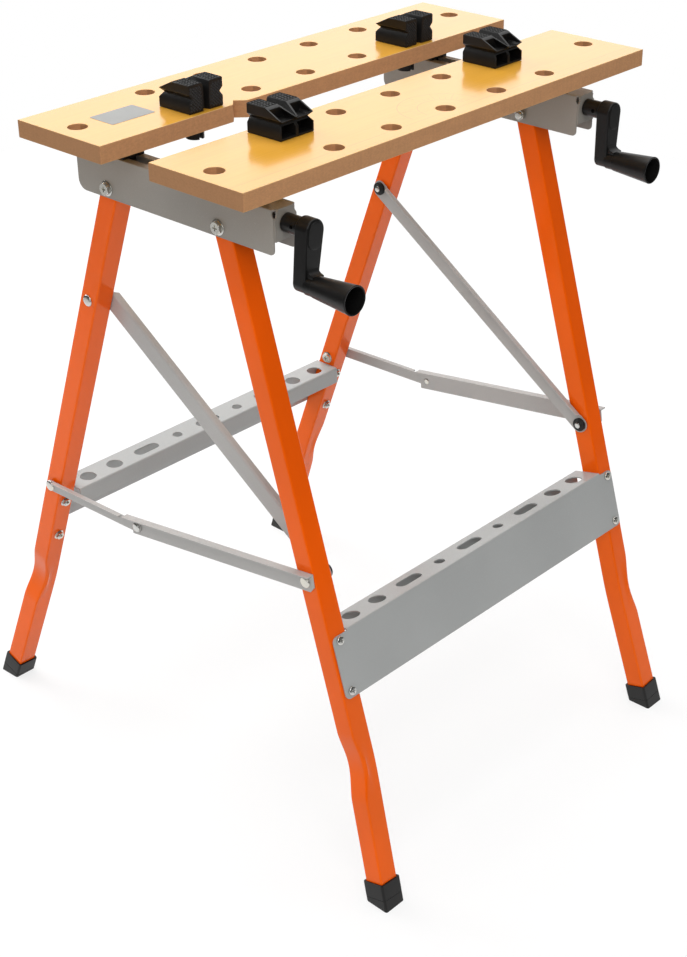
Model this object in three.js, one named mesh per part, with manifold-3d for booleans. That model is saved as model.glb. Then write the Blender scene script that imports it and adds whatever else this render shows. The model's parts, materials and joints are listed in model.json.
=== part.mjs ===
// Folding workbench: a two-jaw vice top on two pairs of folding legs.
// Millimetres, +Z up. -Y is the front, where the cranks are, and +X is the right-hand side seen from there.
// The origin is on the floor, in the middle of the feet.
import * as THREE from 'three';
import { mergeVertices } from 'three/addons/utils/BufferGeometryUtils.js';
import Module from 'manifold-3d';

const wasm = await Module();
wasm.setup();

// Worktop
const TOP_HEIGHT = 784;
const BOARD_LENGTH = 605;
const BOARD_WIDTH = 124;
const BOARD_THICK = 18;
const JAW_GAP = 68.5;
const HOLE_DIAMETER = 20;
const HOLE_PITCH = 80;
const HOLES_PER_ROW = 5;
const HOLE_ROW_SPACING = 73;
const END_HOLE_INSET = 24.5;
const NOTCH_WIDTH = 20;
const NOTCH_DEPTH = 10;

// Beams and vice
const SHEET = 1.5;
const PAD_THICK = 19;
const BEAM_WIDTH = 30;
const BEAM_HEIGHT = 44.5;
const BEAM_SPACING = 462;
const BEAM_FRONT_SETBACK = 21.5;
const BEAM_REAR_SETBACK = 15;
const BEAM_FRONT_RADIUS = 5;
const BEAM_REAR_RADIUS = 11;
const TAB_DROP = 31;
const TAB_INSET = 1;
const TAB_CHAMFER = 4.5;
const BEND_RELIEF_DIAMETER = 4;
const SCREW_DROP = 14.5;
const SCREW_DIAMETER = 10;
const JAW_CLOSING = 68;
const JAW_OPENING = 20;
const HUB_DIAMETER = 18.5;
const CRANK_THROW = 50.5;
const CRANK_LEAN_LEFT = THREE.MathUtils.degToRad(7.5);
const CRANK_LEAN_RIGHT = THREE.MathUtils.degToRad(2.5);
const ARM_THICK = 16;
const ARM_TOP_RADIUS = 11.8;
const ARM_END_RADIUS = 9.3;
const GRIP_LENGTH = 54;
const GRIP_ROOT_RADIUS = 10.2;
const GRIP_END_RADIUS = 14.6;
const GRIP_WALL = 1.8;
const GRIP_SOLID = 8;
const CRANK_GAP = 1.6;
const CRANK_SOCKET = 16;
const CRANK_PIN_DIAMETER = 4;
const CRANK_PIN_SETBACK = 4;
const SCREW_NOSE = 14;
const SCREW_TAIL = 12;
const COLLAR_STEP = 3;
const COLLAR_LENGTH = 6;
const SLIDER_INSET = 1.5;
const SLIDER_LENGTH = 50;
const NECK_WIDTH = 11.6;
const NECK_LENGTH = 36;
const NECK_ROOT = 4;
const NUT_INSET = 5;
const NUT_LENGTH = 32;
const NUT_HEADROOM = 1.2;
const PAD_FRONT = 6;
const PAD_REAR = 4;

// Bench dogs
const DOG_WIDTH = 45;
const DOG_DEPTH = 45;
const DOG_HEIGHT = 29;
const DOG_FACE = 19.5;
const DOG_BASE = 10.5;
const DOG_WAIST = 15.5;
const DOG_LIP = 19.5;
const DOG_ROOF = 20;
const DOG_WAIST_DEPTH = 4;
const DOG_VALLEY_WIDTH = 11;
const DOG_WALL = 2;
const DOG_RIB = 3.6;
const DOG_POCKET = 16;
const DOG_FLOOR = 2.2;
const FACE_GROOVE_WIDTH = 9;
const FACE_GROOVE_DEPTH = 6;
const PEG_DIAMETER = 19;
const PEG_LENGTH = 32;
const PEG_SLIT_WIDTH = 4;
const PEG_SLIT_DEPTH = 13;

// Folding frame
const LEG_WIDTH = 24;
const LEG_WALL = 1.5;
const HINGE_INSET = 10;
const HINGE_SPACING = 161.5;
const FRONT_OVERHANG = 95.75;
const FRONT_SPLAY = THREE.MathUtils.degToRad(16.3);
const REAR_SPLAY = THREE.MathUtils.degToRad(20.4);
const LEG_SET = THREE.MathUtils.degToRad(3.2);
const LEG_SET_AT = 543;
const FOOT_WIDTH = 28.5;
const FOOT_HEIGHT = 27;
const FOOT_FLOOR = 10;
const STRUT_FRONT_AT = 367;
const STRUT_REAR_AT = 146;
const STRUT_WIDTH = 19;
const STRUT_DEPTH = 7.5;
const STAY_REAR_AT = 422;
const ELBOW_SHARE = 0.366;
const ELBOW_DROP = 11.5;
const LONG_LINK_WIDTH = 21;
const SHORT_LINK_WIDTH = 13;
const LINK_FLANGE = 9;
const STOP_OVERLAP = 18;
const STOP_DEPTH = 4;
const STOP_CLEAR = 8;
const LINK_NOSE = 11;
const LINK_CHAMFER = 6;
const FLANGE_STEP = 3;
const FRONT_TRAY_AT = 429;
const REAR_TRAY_AT = 437.5;
const TRAY_HEIGHT = 72.5;
const TRAY_DEPTH = 36;
const TRAY_LIP = 21;
const TRAY_HOLE_PITCH = 50.6;
const TRAY_HOLE_DIAMETER = 16.5;
const TRAY_PILOT_DIAMETER = 10.5;
const TRAY_SLOT_LENGTH = 30;
const TRAY_SLOT_WIDTH = 12;
const TRAY_SCREW_TOP = 8;
const TRAY_SCREW_SPACING = 57;
const TRAY_CORNER = 6;
const TRAY_STEP = 2.5;
const TRAY_EDGE = 1;
const TRAY_SIDE_GAP = 0.5;
const OUTER_HOLE_STEP = 3.8;

// Fasteners and clearances
const PIVOT_DIAMETER = 8;
const TRAY_BOLT_DIAMETER = 5;
const CLEAR = 0.3;
const TOUCH = 0.3;
const ROUND = 20;
const PIN_SIDES = 12;
const PAN_HEAD_HEIGHT = 2.6;
const TRAY_NUT_RADIUS = 4.6;
const TRAY_NUT_HEIGHT = 4;
const TRAY_BOLT_TAIL = 6;
const WASHER_THICK = 2.4;
const OVERCUT = 1;

// Derived places
const HALF_LEG = LEG_WIDTH / 2;
const HALF_BEAM = BEAM_WIDTH / 2;
const SIDE_X = BEAM_SPACING / 2;
const BOARD_BOTTOM = TOP_HEIGHT - BOARD_THICK;
const BEAM_TOP = BOARD_BOTTOM - PAD_THICK;
const BEAM_BOTTOM = BEAM_TOP - BEAM_HEIGHT;
const HINGE_Z = BEAM_BOTTOM + HINGE_INSET;
const SCREW_Z = BEAM_TOP - SCREW_DROP;
const JAW_SPAN = 2 * BOARD_WIDTH + JAW_GAP;
const HALF_FOOT = FOOT_WIDTH / 2;
const FRONT_REACH = HINGE_Z * Math.tan(FRONT_SPLAY) + HALF_FOOT / Math.cos(FRONT_SPLAY);
const REAR_REACH = HINGE_Z * Math.tan(REAR_SPLAY) + HALF_FOOT / Math.cos(REAR_SPLAY);
const HINGE_MID_Y = (FRONT_REACH - REAR_REACH) / 2;
const FRONT_HINGE_Y = HINGE_MID_Y - HINGE_SPACING / 2;
const REAR_HINGE_Y = HINGE_MID_Y + HINGE_SPACING / 2;
const FRONT_EDGE = FRONT_HINGE_Y - FRONT_OVERHANG;
const FRONT_JAW_Y = FRONT_EDGE + BOARD_WIDTH / 2;
const REAR_JAW_Y = FRONT_EDGE + 1.5 * BOARD_WIDTH + JAW_GAP;
const BEAM_FRONT = FRONT_EDGE + BEAM_FRONT_SETBACK;
const TAB_FRONT = BEAM_FRONT - SHEET;
const BEAM_REAR = FRONT_EDGE + JAW_SPAN - BEAM_REAR_SETBACK;
const LINK_INNER = HALF_LEG + 2 * TOUCH;

// Geometry helpers
function box(x, y, z) {
  return new THREE.BoxGeometry(x[1] - x[0], y[1] - y[0], z[1] - z[0]).translate(
    (x[0] + x[1]) / 2,
    (y[0] + y[1]) / 2,
    (z[0] + z[1]) / 2,
  );
}

// An outline in the YZ plane, extruded along X from x[0] to x[1]
function alongX(shape, x) {
  const geometry = new THREE.ExtrudeGeometry(shape, extrusion(x[1] - x[0]));
  const axes = new THREE.Matrix4().set(0, 0, 1, x[0], 1, 0, 0, 0, 0, 1, 0, 0, 0, 0, 0, 1);
  return geometry.applyMatrix4(axes);
}

// An outline in the XZ plane, extruded along Y from y[0] to y[1]
function alongY(shape, y) {
  const geometry = new THREE.ExtrudeGeometry(shape, extrusion(y[1] - y[0]));
  return geometry.rotateX(Math.PI / 2).translate(0, y[1], 0);
}

// An outline in the XY plane, extruded along Z from z[0] to z[1]
function alongZ(shape, z) {
  return new THREE.ExtrudeGeometry(shape, extrusion(z[1] - z[0])).translate(0, 0, z[0]);
}

function extrusion(depth) {
  return { depth, bevelEnabled: false };
}

function span(middle, size) {
  return [middle - size / 2, middle + size / 2];
}

function order(a, b) {
  return [Math.min(a, b), Math.max(a, b)];
}

// Points of an arc, in steps of a whole turn over ROUND
function arc(u, v, radius, from, to) {
  const steps = Math.max(2, Math.round((Math.abs(to - from) / (2 * Math.PI)) * ROUND));
  const points = [];
  for (let i = 0; i <= steps; i += 1) {
    const angle = from + ((to - from) * i) / steps;
    points.push([u + radius * Math.cos(angle), v + radius * Math.sin(angle)]);
  }
  return points;
}

function polygon(points) {
  return new THREE.Shape(points.map(([u, v]) => new THREE.Vector2(u, v)));
}

// A strip from u = start to u = end about the u axis, with round ends where asked
function strip(start, end, half, roundStart, roundEnd) {
  const tail = roundEnd ? arc(end, 0, half, -Math.PI / 2, Math.PI / 2) : [[end, -half], [end, half]];
  const head = roundStart
    ? arc(start, 0, half, Math.PI / 2, 1.5 * Math.PI)
    : [[start, half], [start, -half]];
  return polygon([...tail, ...head]);
}

// A rod along the X, Y or Z axis, between two places on it
function rod(axis, radius, ends, sides = PIN_SIDES) {
  const geometry = new THREE.CylinderGeometry(radius, radius, ends[1] - ends[0], sides);
  geometry.translate(0, (ends[0] + ends[1]) / 2, 0);
  if (axis === 'x') geometry.rotateZ(-Math.PI / 2);
  if (axis === 'z') geometry.rotateX(Math.PI / 2);
  return geometry;
}

function turned(points) {
  return new THREE.LatheGeometry(points.map(([r, y]) => new THREE.Vector2(r, y)), ROUND);
}

function solid(geometry) {
  const bare = geometry.index ? geometry.toNonIndexed() : geometry.clone();
  bare.deleteAttribute('normal');
  bare.deleteAttribute('uv');
  const merged = mergeVertices(bare, 1e-4);
  const corners = [];
  for (let i = 0; i < merged.index.count; i += 3) {
    const [a, b, c] = [0, 1, 2].map((k) => merged.index.getX(i + k));
    if (a !== b && b !== c && c !== a) corners.push(a, b, c);
  }
  const mesh = new wasm.Mesh({
    numProp: 3,
    vertProperties: new Float32Array(merged.attributes.position.array),
    triVerts: new Uint32Array(corners),
  });
  return new wasm.Manifold(mesh);
}

function toGeometry(manifold) {
  const mesh = manifold.getMesh();
  const geometry = new THREE.BufferGeometry();
  geometry.setAttribute('position', new THREE.BufferAttribute(mesh.vertProperties, 3));
  geometry.setIndex(new THREE.BufferAttribute(mesh.triVerts, 1));
  geometry.computeVertexNormals();
  return geometry;
}

function join(...geometries) {
  return geometries.map(solid).reduce((whole, piece) => whole.add(piece));
}

function cut(body, ...tools) {
  return tools.map(solid).reduce((rest, tool) => rest.subtract(tool), body);
}

// Materials
function paint(color, roughness, metalness = 0) {
  return () => new THREE.MeshStandardMaterial({ color, roughness, metalness });
}

const laminate = paint(0xe8b24a, 0.25);
const greyPaint = paint(0x9b9a94, 0.4);
const orangePaint = paint(0xe25a12, 0.3);
const blackPlastic = paint(0x1d1d1d, 0.5);
const zinc = paint(0xd5d7d8, 0.3, 0.9);

function add(group, name, shape, material) {
  const geometry = shape instanceof THREE.BufferGeometry ? shape : toGeometry(shape);
  const mesh = new THREE.Mesh(geometry, material());
  mesh.name = name;
  group.add(mesh);
  return mesh;
}

function groupAt(parent, x, y, z) {
  const group = new THREE.Group();
  group.position.set(x, y, z);
  parent.add(group);
  return group;
}

const SIDES = [
  ['left', -1],
  ['right', 1],
];

// Jaws: a board with two rows of dog holes and one hole near each end
function board(notchX) {
  const halfLength = BOARD_LENGTH / 2;
  const halfWidth = BOARD_WIDTH / 2;
  const outline = [[-halfLength, -halfWidth]];
  if (notchX !== null) {
    outline.push([notchX - NOTCH_WIDTH / 2, -halfWidth]);
    outline.push([notchX, NOTCH_DEPTH - halfWidth]);
    outline.push([notchX + NOTCH_WIDTH / 2, -halfWidth]);
  }
  outline.push([halfLength, -halfWidth], [halfLength, halfWidth], [-halfLength, halfWidth]);
  const shape = polygon(outline);
  const places = [-1, 1].map((end) => [end * (halfLength - END_HOLE_INSET), 0]);
  for (let i = 0; i < HOLES_PER_ROW; i += 1) {
    const x = (i - (HOLES_PER_ROW - 1) / 2) * HOLE_PITCH;
    for (const row of [-1, 1]) places.push([x, (row * HOLE_ROW_SPACING) / 2]);
  }
  for (const [x, y] of places) {
    const ring = arc(x, y, HOLE_DIAMETER / 2, 0, 2 * Math.PI).slice(1);
    shape.holes.push(polygon(ring));
  }
  return alongZ(shape, [0, BOARD_THICK]);
}

// Bench dog about its peg's axis, with the board's top at z = 0 and its serrated face towards -Y
function dog() {
  const back = DOG_DEPTH - DOG_FACE;
  const half = DOG_WIDTH / 2;
  const valley = DOG_VALLEY_WIDTH / 2;
  const side = polygon([
    [-DOG_FACE, TOUCH],
    [back, TOUCH],
    [back, DOG_BASE],
    [back - DOG_WAIST_DEPTH, DOG_WAIST],
    [back, DOG_LIP],
    [back - DOG_ROOF, DOG_HEIGHT],
    [-DOG_FACE, DOG_HEIGHT],
  ]);
  const front = polygon([
    [-half, TOUCH],
    [half, TOUCH],
    [half, DOG_BASE],
    [half - DOG_WAIST_DEPTH, DOG_WAIST],
    [half, DOG_LIP],
    [half, DOG_HEIGHT],
    [valley, DOG_HEIGHT],
    [0, DOG_LIP],
    [-valley, DOG_HEIGHT],
    [-half, DOG_HEIGHT],
    [-half, DOG_LIP],
    [DOG_WAIST_DEPTH - half, DOG_WAIST],
    [-half, DOG_BASE],
  ]);
  const body = solid(alongX(side, span(0, DOG_WIDTH)));
  const shaped = body.intersect(solid(alongY(front, [-DOG_DEPTH, DOG_DEPTH])));
  return cut(shaped, ...dogHollows(half, back, valley)).add(dogPeg());
}

// The hollows in a dog's back and the groove down its face
function dogHollows(half, back, valley) {
  const outer = half - DOG_WALL;
  const inner = DOG_RIB / 2;
  const narrow = outer - DOG_WAIST_DEPTH / 2;
  const depth = [back - DOG_POCKET, back + OVERCUT];
  const upper = [
    [inner, DOG_WAIST + DOG_WALL],
    [narrow, DOG_WAIST + DOG_WALL],
    [outer, DOG_LIP],
    [outer, DOG_HEIGHT + OVERCUT],
    [valley + DOG_RIB, DOG_HEIGHT + OVERCUT],
    [inner, DOG_LIP],
  ];
  const lower = [
    [inner, DOG_FLOOR],
    [outer, DOG_FLOOR],
    [outer, DOG_BASE],
    [narrow, DOG_WAIST - DOG_WALL],
    [inner, DOG_WAIST - DOG_WALL],
  ];
  const tools = [];
  for (const end of [-1, 1]) {
    for (const outline of [upper, lower]) {
      tools.push(alongY(polygon(outline.map(([x, z]) => [end * x, z])), depth));
    }
  }
  const grooveHalf = FACE_GROOVE_WIDTH / 2;
  const groove = polygon([
    [-grooveHalf, -DOG_FACE - OVERCUT],
    [grooveHalf, -DOG_FACE - OVERCUT],
    [grooveHalf / 2, FACE_GROOVE_DEPTH - DOG_FACE],
    [-grooveHalf / 2, FACE_GROOVE_DEPTH - DOG_FACE],
  ]);
  tools.push(alongZ(groove, [-OVERCUT, DOG_HEIGHT + OVERCUT]));
  return tools;
}

function dogPeg() {
  const peg = rod('z', PEG_DIAMETER / 2, [-PEG_LENGTH, DOG_FLOOR], ROUND);
  const slit = box(
    span(0, PEG_SLIT_WIDTH),
    span(0, 2 * PEG_DIAMETER),
    [-PEG_LENGTH - OVERCUT, PEG_SLIT_DEPTH - PEG_LENGTH],
  );
  return cut(solid(peg), slit);
}

// Beam: a folded channel, open below, with a slot for the slider and a tab for the screw
function beam() {
  const halfInside = HALF_BEAM - SHEET;
  const channel = polygon([
    [-HALF_BEAM, BEAM_BOTTOM],
    [-halfInside, BEAM_BOTTOM],
    [-halfInside, BEAM_TOP - SHEET],
    [halfInside, BEAM_TOP - SHEET],
    [halfInside, BEAM_BOTTOM],
    [HALF_BEAM, BEAM_BOTTOM],
    [HALF_BEAM, BEAM_TOP],
    [-HALF_BEAM, BEAM_TOP],
  ]);
  const front = BEAM_FRONT_RADIUS;
  const rear = BEAM_REAR_RADIUS;
  const profile = polygon([
    ...arc(BEAM_FRONT + front, BEAM_BOTTOM + front, front, Math.PI, 1.5 * Math.PI),
    ...arc(BEAM_REAR - rear, BEAM_BOTTOM + rear, rear, -Math.PI / 2, 0),
    [BEAM_REAR, BEAM_TOP + OVERCUT],
    [BEAM_FRONT, BEAM_TOP + OVERCUT],
  ]);
  const side = solid(alongX(profile, span(0, 2 * BEAM_WIDTH)));
  const sheet = solid(alongY(channel, [BEAM_FRONT, BEAM_REAR])).intersect(side);
  const tabHalf = HALF_BEAM - TAB_INSET;
  const tabBottom = BEAM_TOP - TAB_DROP;
  const tab = polygon([
    [-tabHalf, tabBottom],
    [tabHalf, tabBottom],
    [tabHalf, BEAM_TOP - TAB_CHAMFER],
    [tabHalf - TAB_CHAMFER, BEAM_TOP],
    [TAB_CHAMFER - tabHalf, BEAM_TOP],
    [-tabHalf, BEAM_TOP - TAB_CHAMFER],
  ]);
  const neck = sliderNeck();
  const slot = box(
    span(0, neck.width + 4 * CLEAR),
    [neck.y[0] - JAW_CLOSING - OVERCUT, neck.y[1] + JAW_OPENING + OVERCUT],
    [BEAM_TOP - 2 * SHEET, BEAM_TOP + OVERCUT],
  );
  const screwHole = rod('y', SCREW_DIAMETER / 2 + 2 * CLEAR, span(TAB_FRONT, 4 * SHEET));
  const tools = [slot, screwHole.translate(0, 0, SCREW_Z)];
  for (const end of [-1, 1]) {
    const relief = rod('z', BEND_RELIEF_DIAMETER / 2, span(BEAM_TOP, 2 * BEND_RELIEF_DIAMETER));
    tools.push(relief.translate(end * HALF_BEAM, BEAM_FRONT, 0));
  }
  for (const y of [FRONT_HINGE_Y, REAR_HINGE_Y]) {
    tools.push(rod('x', PIVOT_DIAMETER / 2 + CLEAR, span(0, 2 * BEAM_WIDTH)).translate(0, y, HINGE_Z));
  }
  return cut(sheet.add(solid(alongY(tab, [TAB_FRONT, BEAM_FRONT + TOUCH]))), ...tools);
}

function sliderNeck() {
  return { width: NECK_WIDTH, y: span(REAR_JAW_Y, NECK_LENGTH) };
}

// Slider: a plate under the rear jaw, a neck through the beam's slot and a nut block on the screw
function slider() {
  const neck = sliderNeck();
  const underSheet = BEAM_TOP - SHEET;
  const nutBottom = HINGE_Z + HALF_LEG + NUT_HEADROOM;
  const plate = box(
    span(0, BEAM_WIDTH - 2 * SLIDER_INSET),
    span(REAR_JAW_Y, SLIDER_LENGTH),
    [BEAM_TOP + TOUCH, BOARD_BOTTOM - TOUCH],
  );
  const stem = box(span(0, neck.width), neck.y, [underSheet - NECK_ROOT, BEAM_TOP + OVERCUT]);
  const block = box(
    span(0, BEAM_WIDTH - 2 * NUT_INSET),
    span(REAR_JAW_Y, NUT_LENGTH),
    [nutBottom, underSheet - TOUCH],
  );
  const bore = rod('y', SCREW_DIAMETER / 2 + CLEAR, [BEAM_FRONT, BEAM_REAR]).translate(0, 0, SCREW_Z);
  return cut(join(plate, stem, block), bore);
}

function pad() {
  return box(
    span(0, BEAM_WIDTH - 2 * SLIDER_INSET),
    [BEAM_FRONT + PAD_FRONT, FRONT_EDGE + BOARD_WIDTH - PAD_REAR],
    [BEAM_TOP + TOUCH, BOARD_BOTTOM - TOUCH],
  );
}

// Lead screw along Y about its own axis, with the collar that bears on the beam's tab
function screw() {
  const radius = SCREW_DIAMETER / 2;
  const collar = radius + COLLAR_STEP;
  const collarFront = BEAM_FRONT + 2 * TOUCH;
  const collarRear = collarFront + COLLAR_LENGTH;
  const front = BEAM_FRONT - SCREW_NOSE;
  const rear = BEAM_REAR - SCREW_TAIL;
  const chamfer = radius / 5;
  return turned([
    [0, front],
    [radius, front],
    [radius, collarFront],
    [collar, collarFront],
    [collar, collarRear],
    [radius, collarRear],
    [radius, rear - chamfer],
    [radius - chamfer, rear],
    [0, rear],
  ]);
}

// Crank about the screw's axis, hanging down: hub, tapered arm and hollow grip
function crank() {
  const hubBack = TAB_FRONT - 2 * TOUCH;
  const armBack = FRONT_EDGE - CRANK_GAP;
  const armFront = armBack - ARM_THICK;
  const gripEnd = armFront - GRIP_LENGTH;
  const gripFloor = armFront - GRIP_SOLID;
  const lean = Math.asin((ARM_TOP_RADIUS - ARM_END_RADIUS) / CRANK_THROW);
  const arm = polygon([
    ...arc(0, 0, ARM_TOP_RADIUS, -lean, Math.PI + lean),
    ...arc(0, -CRANK_THROW, ARM_END_RADIUS, Math.PI + lean, 2 * Math.PI - lean),
  ]);
  const hub = rod('y', HUB_DIAMETER / 2, [armBack - OVERCUT, hubBack], ROUND);
  const grip = turned([
    [0, gripFloor],
    [GRIP_ROOT_RADIUS - 2 * GRIP_WALL, gripFloor],
    [GRIP_END_RADIUS - GRIP_WALL, gripEnd],
    [GRIP_END_RADIUS, gripEnd],
    [GRIP_ROOT_RADIUS, armFront],
    [GRIP_ROOT_RADIUS, armFront + OVERCUT],
    [0, armFront + OVERCUT],
  ]).translate(0, 0, -CRANK_THROW);
  const bore = rod('y', SCREW_DIAMETER / 2 + CLEAR, [BEAM_FRONT - CRANK_SOCKET, hubBack + OVERCUT]);
  const pinY = (armBack + hubBack) / 2 - CRANK_PIN_SETBACK;
  const pinHole = rod('x', CRANK_PIN_DIAMETER / 2, span(0, 2 * HUB_DIAMETER)).translate(0, pinY, 0);
  return cut(join(hub, alongY(arm, [armFront, armBack]), grip), bore, pinHole);
}

// Leg about its hinge, down -Z, set outwards towards side below the bend
function legLower(splay) {
  const slack = HINGE_Z - LEG_SET_AT * Math.cos(splay);
  return slack / (Math.cos(splay) * Math.cos(LEG_SET));
}

function legOutline(side, halfWidth, top, below) {
  const mitre = halfWidth / Math.cos(LEG_SET / 2);
  const mitreX = mitre * Math.cos(LEG_SET / 2);
  const mitreZ = mitre * Math.sin(LEG_SET / 2);
  const endX = below * Math.sin(LEG_SET);
  const endZ = -LEG_SET_AT - below * Math.cos(LEG_SET);
  const acrossX = halfWidth * Math.cos(LEG_SET);
  const acrossZ = halfWidth * Math.sin(LEG_SET);
  const points = [
    [-halfWidth, top],
    [-mitreX, -LEG_SET_AT - mitreZ],
    [endX - acrossX, endZ - acrossZ],
    [endX + acrossX, endZ + acrossZ],
    [mitreX, -LEG_SET_AT + mitreZ],
    [halfWidth, top],
  ];
  return polygon(points.map(([x, z]) => [side * x, z]));
}

function leg(side, splay, pivots, trayAt) {
  const below = legLower(splay) - FOOT_FLOOR;
  const inside = HALF_LEG - LEG_WALL;
  const roundTop = strip(-2 * LEG_SET_AT, 0, HALF_LEG, false, true);
  const upright = solid(alongX(roundTop, span(0, 8 * LEG_WIDTH)).rotateX(Math.PI / 2));
  const outer = solid(alongY(legOutline(side, HALF_LEG, LEG_WIDTH, below), span(0, LEG_WIDTH)));
  const hollow = alongY(legOutline(side, inside, 2 * LEG_WIDTH, below + LEG_WIDTH), span(0, 2 * inside));
  const tools = [hollow];
  for (const at of pivots) {
    tools.push(rod('x', PIVOT_DIAMETER / 2 + CLEAR, span(0, 2 * LEG_WIDTH)).translate(0, 0, -at));
  }
  for (const at of trayScrews(trayAt)) {
    tools.push(rod('y', TRAY_BOLT_DIAMETER / 2 + CLEAR, span(0, 2 * LEG_WIDTH)).translate(0, 0, -at));
  }
  return cut(outer.intersect(upright), ...tools);
}

// Foot cap about the leg's bend, cut level with the floor; floor is a box below it in the same frame
function foot(splay, floor) {
  const ground = legLower(splay);
  const half = HALF_LEG + CLEAR;
  const block = box(span(0, FOOT_WIDTH), span(0, FOOT_WIDTH), [-ground - FOOT_WIDTH, FOOT_HEIGHT - ground]);
  const inside = [FOOT_FLOOR - TOUCH - ground, FOOT_HEIGHT + OVERCUT - ground];
  const pocket = box([-half, half], [-half, half], inside);
  return cut(solid(block), pocket, floor);
}

// Tray across a pair of legs, about their hinge line; face is -1 in front of the legs and 1 behind them
function trayScrews(at) {
  return [at + TRAY_SCREW_TOP, at + TRAY_SCREW_TOP + TRAY_SCREW_SPACING];
}

function trayPlate(at) {
  const half = SIDE_X + HALF_LEG - TRAY_EDGE;
  const inner = SIDE_X - HALF_LEG - TRAY_SIDE_GAP;
  const radius = TRAY_CORNER;
  const top = -at - TRAY_STEP;
  const bottom = -at - TRAY_HEIGHT;
  const corner = (end, z, from) => arc(end * (half - radius), z, radius, from, from + Math.PI / 2);
  return polygon([
    [inner, -at],
    [-inner, -at],
    [-inner, top],
    ...corner(-1, top - radius, Math.PI / 2),
    ...corner(-1, bottom + radius, Math.PI),
    ...corner(1, bottom + radius, 1.5 * Math.PI),
    ...corner(1, top - radius, 0),
    [inner, top],
  ]);
}

function tray(face, at) {
  const inner = SIDE_X - HALF_LEG - TRAY_SIDE_GAP;
  const near = face * (HALF_LEG + TOUCH);
  const outer = near + face * SHEET;
  const lip = outer - face * TRAY_DEPTH;
  const plate = alongY(trayPlate(at), order(near, outer));
  const flange = box([-inner, inner], order(lip, outer), [-at - SHEET, -at]);
  const edge = box([-inner, inner], order(lip, lip + face * SHEET), [-at - TRAY_LIP, -at]);
  const middle = (lip + near) / 2;
  const through = [-at - 2 * SHEET, -at + SHEET];
  const tools = [];
  const round = (x, diameter) => {
    tools.push(rod('z', diameter / 2, through, ROUND).translate(x, middle, 0));
  };
  const slot = (x) => {
    const half = (TRAY_SLOT_LENGTH - TRAY_SLOT_WIDTH) / 2;
    const shape = strip(-half, half, TRAY_SLOT_WIDTH / 2, true, true);
    tools.push(alongZ(shape, through).translate(x, middle, 0));
  };
  slot(0);
  for (const end of [-1, 1]) {
    round(end * TRAY_HOLE_PITCH, TRAY_PILOT_DIAMETER);
    slot(end * 2 * TRAY_HOLE_PITCH);
    round(end * 3 * TRAY_HOLE_PITCH, TRAY_HOLE_DIAMETER);
    round(end * OUTER_HOLE_STEP * TRAY_HOLE_PITCH, TRAY_HOLE_DIAMETER);
    for (const z of trayScrews(at)) {
      const hole = rod('y', TRAY_BOLT_DIAMETER / 2 + CLEAR, span(near, 4 * LEG_WIDTH));
      tools.push(hole.translate(end * SIDE_X, 0, -z));
    }
  }
  return cut(join(plate, flange, edge), ...tools);
}

// Tray bolt along Y through plate and leg, with its head on the plate
function trayBolt(face) {
  const headStart = face * (HALF_LEG + 2 * TOUCH + SHEET);
  const nutStart = -face * (HALF_LEG + TOUCH);
  return join(
    rod('y', TRAY_BOLT_DIAMETER, order(headStart, headStart + face * PAN_HEAD_HEIGHT)),
    rod('y', TRAY_BOLT_DIAMETER / 2, order(headStart + face, nutStart - face * TRAY_BOLT_TAIL)),
    rod('y', TRAY_NUT_RADIUS, order(nutStart, nutStart - face * TRAY_NUT_HEIGHT), 6),
  );
}

// Strut along +Y from its foot: an angle on the leg's inner face, its upper flange towards the middle
function strut(side, length) {
  const half = STRUT_WIDTH / 2;
  const webNear = -side * (HALF_LEG + 2 * TOUCH);
  const webFar = webNear - side * SHEET;
  const edge = webNear - side * STRUT_DEPTH;
  const web = alongX(strip(0, length, half, true, true), order(webNear, webFar));
  const flange = box(order(webNear, edge), [half, length - half], [half - SHEET, half]);
  const holes = [0, length].map((y) =>
    rod('x', PIVOT_DIAMETER / 2 + CLEAR, span(0, 4 * LEG_WIDTH)).translate(0, y, 0),
  );
  return cut(join(web, flange), ...holes);
}

// Long link along +Y from the front leg, with a flange that stops the short link past straight
function longLink(side, length) {
  const half = LONG_LINK_WIDTH / 2;
  const near = side * LINK_INNER;
  const outline = polygon([
    [-LINK_NOSE, half],
    [-LINK_NOSE, LINK_CHAMFER - half],
    [LINK_CHAMFER - LINK_NOSE, -half],
    [length + half, -half],
    [length + half, half],
  ]);
  const web = alongX(outline, order(near, near + side * SHEET));
  const flange = box(
    order(near, near + side * LINK_FLANGE),
    [-LINK_NOSE, length + STOP_OVERLAP],
    [half - SHEET, half],
  );
  const tail = box(
    order(near, near + side * SHEET),
    [length, length + STOP_OVERLAP],
    [half - STOP_DEPTH, half],
  );
  const holes = [0, length].map((y) =>
    rod('x', PIVOT_DIAMETER / 2 + CLEAR, span(0, 4 * LEG_WIDTH)).translate(0, y, 0),
  );
  return cut(join(web, flange, tail), ...holes);
}

// Short link from the elbow towards the rear leg, outside the long link's web
function shortLink(side, length) {
  const half = SHORT_LINK_WIDTH / 2;
  const near = side * (LINK_INNER + SHEET + TOUCH);
  const web = alongX(strip(0, length, half, true, true), order(near, near + side * SHEET));
  const flange = box(
    order(near, near + side * (LINK_FLANGE - FLANGE_STEP)),
    [STOP_OVERLAP + STOP_CLEAR, length - half],
    [half - SHEET, half],
  );
  const holes = [0, length].map((y) =>
    rod('x', PIVOT_DIAMETER / 2 + CLEAR, span(0, 4 * LEG_WIDTH)).translate(0, y, 0),
  );
  return cut(join(web, flange), ...holes);
}

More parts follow.
